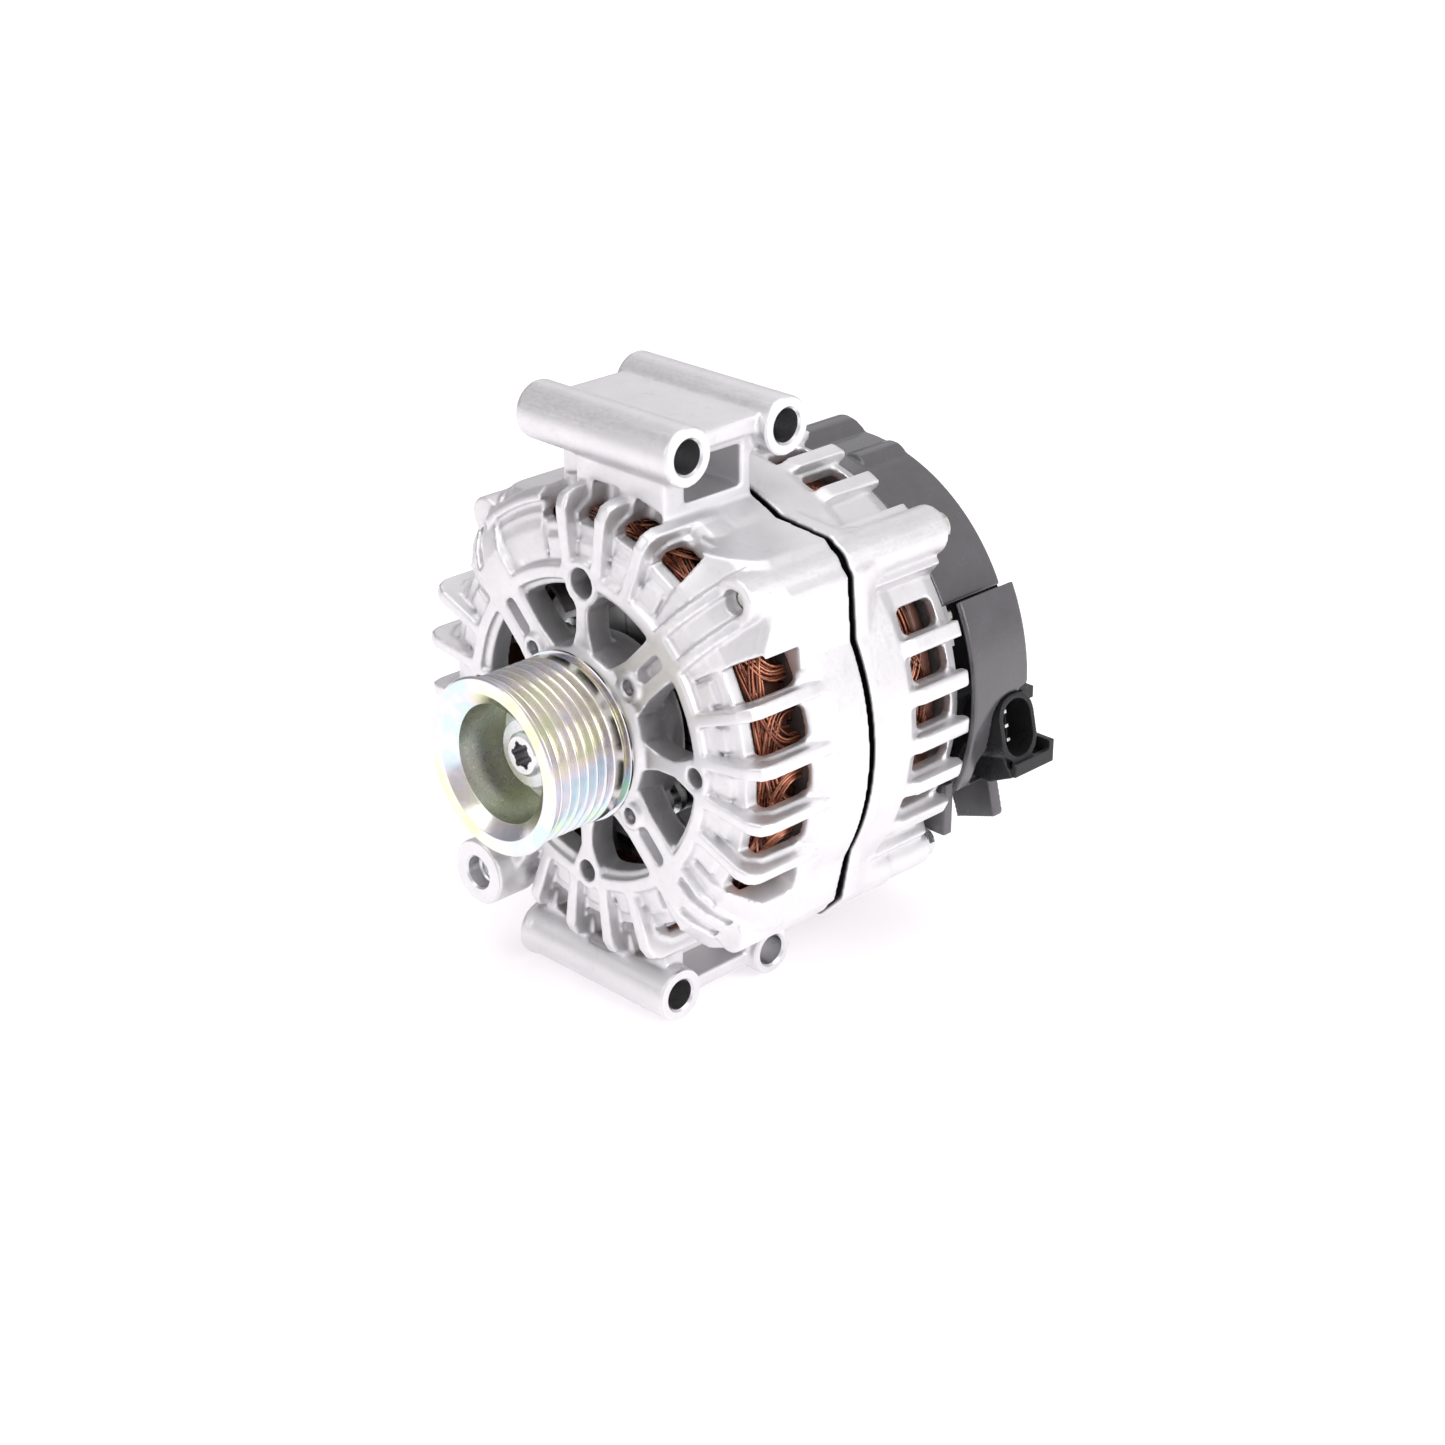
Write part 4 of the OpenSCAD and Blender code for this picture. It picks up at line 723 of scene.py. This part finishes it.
def winding():
    heads = (("winding_front", 50.9, 35.25, 40), ("winding_rear", 93.1, 110.2, 36))
    for name, stack_y, crest_y, bundles in heads:
        wires = tubes(name, winding_paths(stack_y, crest_y, bundles, 8, 44), 0.47)
        settle(wires, COPPER, "stator_winding", 80)
    # dark varnished body behind the wires, and the bars in the slots
    front = lathe("front_core", soften([
        (56.3, 50.6), (56.3, 38), (58, 36), (60.6, 36), (62.6, 38.5), (62.6, 50.6)
    ], 1.2), 96)
    rear = lathe("rear_core", soften([
        (56.3, 93.4), (62.4, 93.4), (62.8, 105), (65.8, 107.2),
        (65.8, 110.6), (63.5, 112.9), (58, 112.9), (56.3, 111)
    ], 1.2), 96)
    bars = []
    section = ((56.4, -1.6), (63.3, -1.6), (63.3, 1.6), (56.4, 1.6))
    for i in range(SLOTS):
        a = TAU * i / SLOTS
        c, s = math.cos(a), math.sin(a)
        corners = [(r * c - w * s, r * s + w * c) for r, w in section]
        bars.append(grid_mesh("bar", [[(x, y, z) for x, z in corners] for y in (50.6, 93.4)]))
    core = merged("winding_core", [front, rear, fix_normals(merged("bars", bars))])
    core.data.materials.clear()
    layer = core.data.attributes.new("strand", "FLOAT", "POINT")
    rear_head_y = 104.6 * MM
    layer.data.foreach_set("value", [0.3 if v.co.y > rear_head_y else 0.0 for v in core.data.vertices])
    settle(core, VARNISH, "stator_winding")


# ---------------------------------------------------------------- castings


def front_casting():
    obj = copy_of("front_housing", "front_casting")
    rounded(obj, 0.6, 9, 190000)
    obj.data.materials.append(CAST)
    # machined end faces stand as crisp discs inside the rounded tube ends
    x, z = SIDE_BOSS
    discs = [rod((TUBE_X0, y, TUBE_Z), (TUBE_X1, y, TUBE_Z), 8.7) for y in TUBE_Y]
    discs.append(rod((LOW_X0, LOW_Y[0], LOW_Z), (LOW_X1, LOW_Y[0], LOW_Z), 8.4))
    discs.append(rod((LUG_X0, LOW_Y[1], LOW_Z), (LOW_X1, LOW_Y[1], LOW_Z), 7.6))
    discs.append(rod((x, 11.7, z), (x, 40, z), 10.4))
    for d in discs:
        d.data.materials.append(MACHINED)
    combine(obj, discs, "UNION")
    # bores, sharp and chamfered, and the thread of the side boss
    tools = [drill((TUBE_X0, y, TUBE_Z), (TUBE_X1, y, TUBE_Z), 5.3, 0.7) for y in TUBE_Y]
    tools += [drill((x0, y, LOW_Z), (LOW_X1, y, LOW_Z), 5, 0.7) for x0, y in zip((LOW_X0, LUG_X0), LOW_Y)]
    tools.append(spindle("mouth", (x, 9.7, z), (x, 17, z), [(0, 8), (2.6, 5.2), (7, 5.2), (7.3, 4.3)], 96))
    tools.append(thread("tap", (x, 16, z), (x, 33, z), 4.95, 0.6, 1.25, 72, 0.2))
    for angle in DIAGONALS:
        p = polar(RETAINER_PCR, angle, 0)
        tools.append(spindle("hole", (p.x, 18, p.z), (p.x, 41, p.z), [
            (0, 5.2), (3.9, 2.8), (4.6, 2.5), (23, 2.5)
        ], 64))
    for d in tools:
        d.data.materials.append(MACHINED)
    return combine(obj, tools)


def reach_inside(outline, centre, way):
    """Distance from centre along way to the edge of a closed outline round it."""
    best = 1e9
    for p, q in zip(outline, outline[1:] + outline[:1]):
        p, q = Vector(p) - centre, Vector(q) - centre
        edge = q - p
        across = way.x * edge.y - way.y * edge.x
        if abs(across) < 1e-9:
            continue
        along = (p.x * edge.y - p.y * edge.x) / across
        share = (p.x * way.y - p.y * way.x) / across
        if along > 0 and -1e-9 <= share <= 1 + 1e-9:
            best = min(best, along)
    return best


def corner_web(angle, bolt_r):
    """Web of the rear casting that starts with the front corner's outline and tapers to the bolt boss."""
    tip = bolt_r + 7.0
    corner = [(60, -19), (74.4, -19), (tip, -4.5), (tip, 4.5), (74.4, 19), (60, 19)]
    outline = [tuple(polar(r, a + angle, 0).xz) for r, a in corner]
    centre = polar(bolt_r, angle, 0).xz
    rings, around, boss = [], 72, 7.0
    for y, share in ((JOINT_Y + 1.25, 0), (79, 0.02), (83, 0.35), (87, 0.65), (93, 0.9), (99, 1)):
        ring = []
        for k in range(around):
            way = Vector((math.cos(TAU * k / around), math.sin(TAU * k / around)))
            reach = reach_inside(outline, centre, way) * (1 - share) + boss * share
            p = centre + way * reach
            ring.append((p.x, y, p.y))
        rings.append(ring)
    return fix_normals(grid_mesh("web", rings))


def rear_casting():
    webs = [corner_web(angle, pcr) for angle, pcr in BOLTS]
    obj = rounded(merged("rear_casting", [copy_of("rear_housing", "shell")] + webs), 0.6, 8, 150000)
    obj.data.materials.clear()
    obj.data.materials.append(CAST)
    seat = spindle("seat", (0, 110.8, 0), (0, 126, 0), [(0, 18.98), (13.2, 18.98), (15.2, 20.6)], 128)
    seat.data.materials.append(MACHINED)
    return combine(obj, [seat])


turned_pulley()
through_bolt_set()
retainer_screw_set()
stud_piece()
stud_nut()
cover_screw_set()
winding()
settle(front_casting(), CAST, "front_housing")
settle(rear_casting(), CAST, "rear_housing")
cover = rounded(copy_of("rear_cover", "rear_cover_moulding"), 0.5, 7, 120000)
settle(cover, COVER, "rear_cover")
socket = rounded(copy_of("connector_socket", "connector_socket_moulding"), 0.3, 3, 50000)
settle(socket, SOCKET, "connector_socket")


def brush_spring(node):
    """A copy of the CAD spring in the spring wire finish, with a mesh of its own."""
    wire = settle(copy_of(node, node + "_wire"), SPRING, node, 60)
    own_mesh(wire)


brush_spring("front_brush_spring")
brush_spring("rear_brush_spring")

# ---------------------------------------------------------------- the other CAD nodes

FINISH = {
    BRIGHT_STEEL: ["rotor_shaft", "front_bearing_inner", "front_bearing_outer", "front_bearing_balls",
                   "rear_bearing_inner", "rear_bearing_outer", "rear_bearing_balls"],
    NUT_ZINC: ["pulley_nut", "regulator_screws", "rectifier_screws", "bearing_retainer"],
    DULL_STEEL: ["spacer_collar", "negative_diodes", "positive_diodes"],
    POLE_STEEL: ["front_pole", "rear_pole"],
    FAN_STEEL: ["front_fan", "rear_fan"],
    LAMINATION: ["stator_core"],
    SOCKET: ["brush_holder", "slip_ring_hub", "rectifier_board", "voltage_regulator"],
    BOBBIN: ["coil_bobbin"],
    VARNISH: ["field_coil"],
    RING_COPPER: ["slip_ring_front", "slip_ring_rear", "phase_leads"],
    CAGE: ["front_bearing_cage", "rear_bearing_cage"],
    SEAL: ["front_bearing_seals", "rear_bearing_seals"],
    PALE: ["rear_bearing_sleeve", "heatsink_spacers"],
    CARBON: ["front_brush", "rear_brush"],
    SINK: ["negative_heatsink", "positive_heatsink"],
    TINNED: ["connector_pins"],
}
BEVEL_MM = {
    "pulley_nut": 0.5, "rotor_shaft": 0.15, "spacer_collar": 0.3, "front_pole": 0.7, "rear_pole": 0.7,
    "brush_holder": 0.5, "voltage_regulator": 0.6, "negative_heatsink": 0.4, "positive_heatsink": 0.4,
    "rectifier_board": 0.4, "front_brush": 0.3, "rear_brush": 0.3, "connector_pins": 0.12,
    "bearing_retainer": 0.25, "coil_bobbin": 0.3, "regulator_screws": 0.2, "rectifier_screws": 0.2,
}
for material, names in FINISH.items():
    for name in names:
        obj = nodes[name]
        obj.data.materials.clear()
        obj.data.materials.append(material)
        if name in BEVEL_MM:
            mod = obj.modifiers.new("edge", "BEVEL")
            mod.width = BEVEL_MM[name] * MM
            mod.segments = 2
            mod.limit_method = "ANGLE"
            mod.angle_limit = math.radians(40)

# ---------------------------------------------------------------- camera, light and floor

AZIMUTH, ELEVATION = math.radians(45), math.radians(24.5)
right = Vector((math.cos(AZIMUTH), math.sin(AZIMUTH), 0))
back = Vector((
    math.sin(AZIMUTH) * math.cos(ELEVATION), -math.cos(AZIMUTH) * math.cos(ELEVATION), math.sin(ELEVATION)
))
cam_data = bpy.data.cameras.new("camera")
cam_data.lens = 70.1
cam_data.sensor_width = 36
cam = link(bpy.data.objects.new("camera", cam_data))
cam.matrix_world = Matrix.Translation((0.5829, -0.4989, 0.3591)) @ Matrix(
    (right, back.cross(right), back)
).transposed().to_4x4()
scene.camera = cam

floor_z = CAD_BOX[0][2]
far = 8
floor = new_object(
    "floor", [(x * far, y * far, floor_z) for x, y in ((-1, -1), (1, -1), (1, 1), (-1, 1))], [(0, 1, 2, 3)]
)
white = Nodes("floor_white")
white.set(Base_Color=(0.90, 0.88, 0.895), Roughness=0.9, Specular_IOR_Level=0.1,
          Emission_Color=(1, 0.985, 0.995), Emission_Strength=0.36)
floor.data.materials.append(white.mat)

world = bpy.data.worlds.new("studio")
scene.world = world
world.use_nodes = True
tree = world.node_tree
sky = tree.nodes["Background"]
# the surroundings are white, a little dimmer and cooler on the pulley's left
towards = tree.nodes.new("ShaderNodeTexCoord")
lean = tree.nodes.new("ShaderNodeVectorMath")
lean.operation = "DOT_PRODUCT"
lean.inputs[1].default_value = (0.80, 0.15, 0.58)
tree.links.new(towards.outputs["Generated"], lean.inputs[0])
fall = tree.nodes.new("ShaderNodeMapRange")
for key, value in (("From Min", -0.9), ("From Max", 0.9), ("To Min", 0.26), ("To Max", 0.86)):
    fall.inputs[key].default_value = value
tree.links.new(lean.outputs["Value"], fall.inputs["Value"])
sky.inputs["Color"].default_value = (1.0, 0.97, 0.995, 1)
tree.links.new(fall.outputs["Result"], sky.inputs["Strength"])
seen = tree.nodes.new("ShaderNodeBackground")
seen.inputs["Color"].default_value = (1, 1, 1, 1)
seen.inputs["Strength"].default_value = 1.0
path = tree.nodes.new("ShaderNodeLightPath")
choose = tree.nodes.new("ShaderNodeMixShader")
tree.links.new(path.outputs["Is Camera Ray"], choose.inputs[0])
tree.links.new(sky.outputs[0], choose.inputs[1])
tree.links.new(seen.outputs[0], choose.inputs[2])
tree.links.new(choose.outputs[0], tree.nodes["World Output"].inputs["Surface"])


def softbox(name, place, size, power):
    """A white rectangular lamp that faces the middle of the object."""
    data = bpy.data.lights.new(name, "AREA")
    data.shape = "RECTANGLE"
    data.size, data.size_y = size
    data.energy = power
    obj = link(bpy.data.objects.new(name, data))
    obj.location = place
    obj.rotation_mode = "QUATERNION"
    obj.rotation_quaternion = (Vector((0, 0.06, 0)) - Vector(place)).to_track_quat("-Z", "Y")


softbox("top_light", (0.1, -0.1, 1.5), (1.3, 1.3), 7.5)
softbox("right_light", (1.3, 0.25, 0.65), (0.7, 0.9), 8)
softbox("front_light", (-0.5, -1.3, 0.7), (0.6, 0.8), 3)
softbox("back_light", (-0.9, 1.0, 0.9), (0.9, 0.9), 1.2)

scene.view_settings.view_transform = "Standard"
scene.view_settings.look = "None"
scene.view_settings.exposure = 0.0
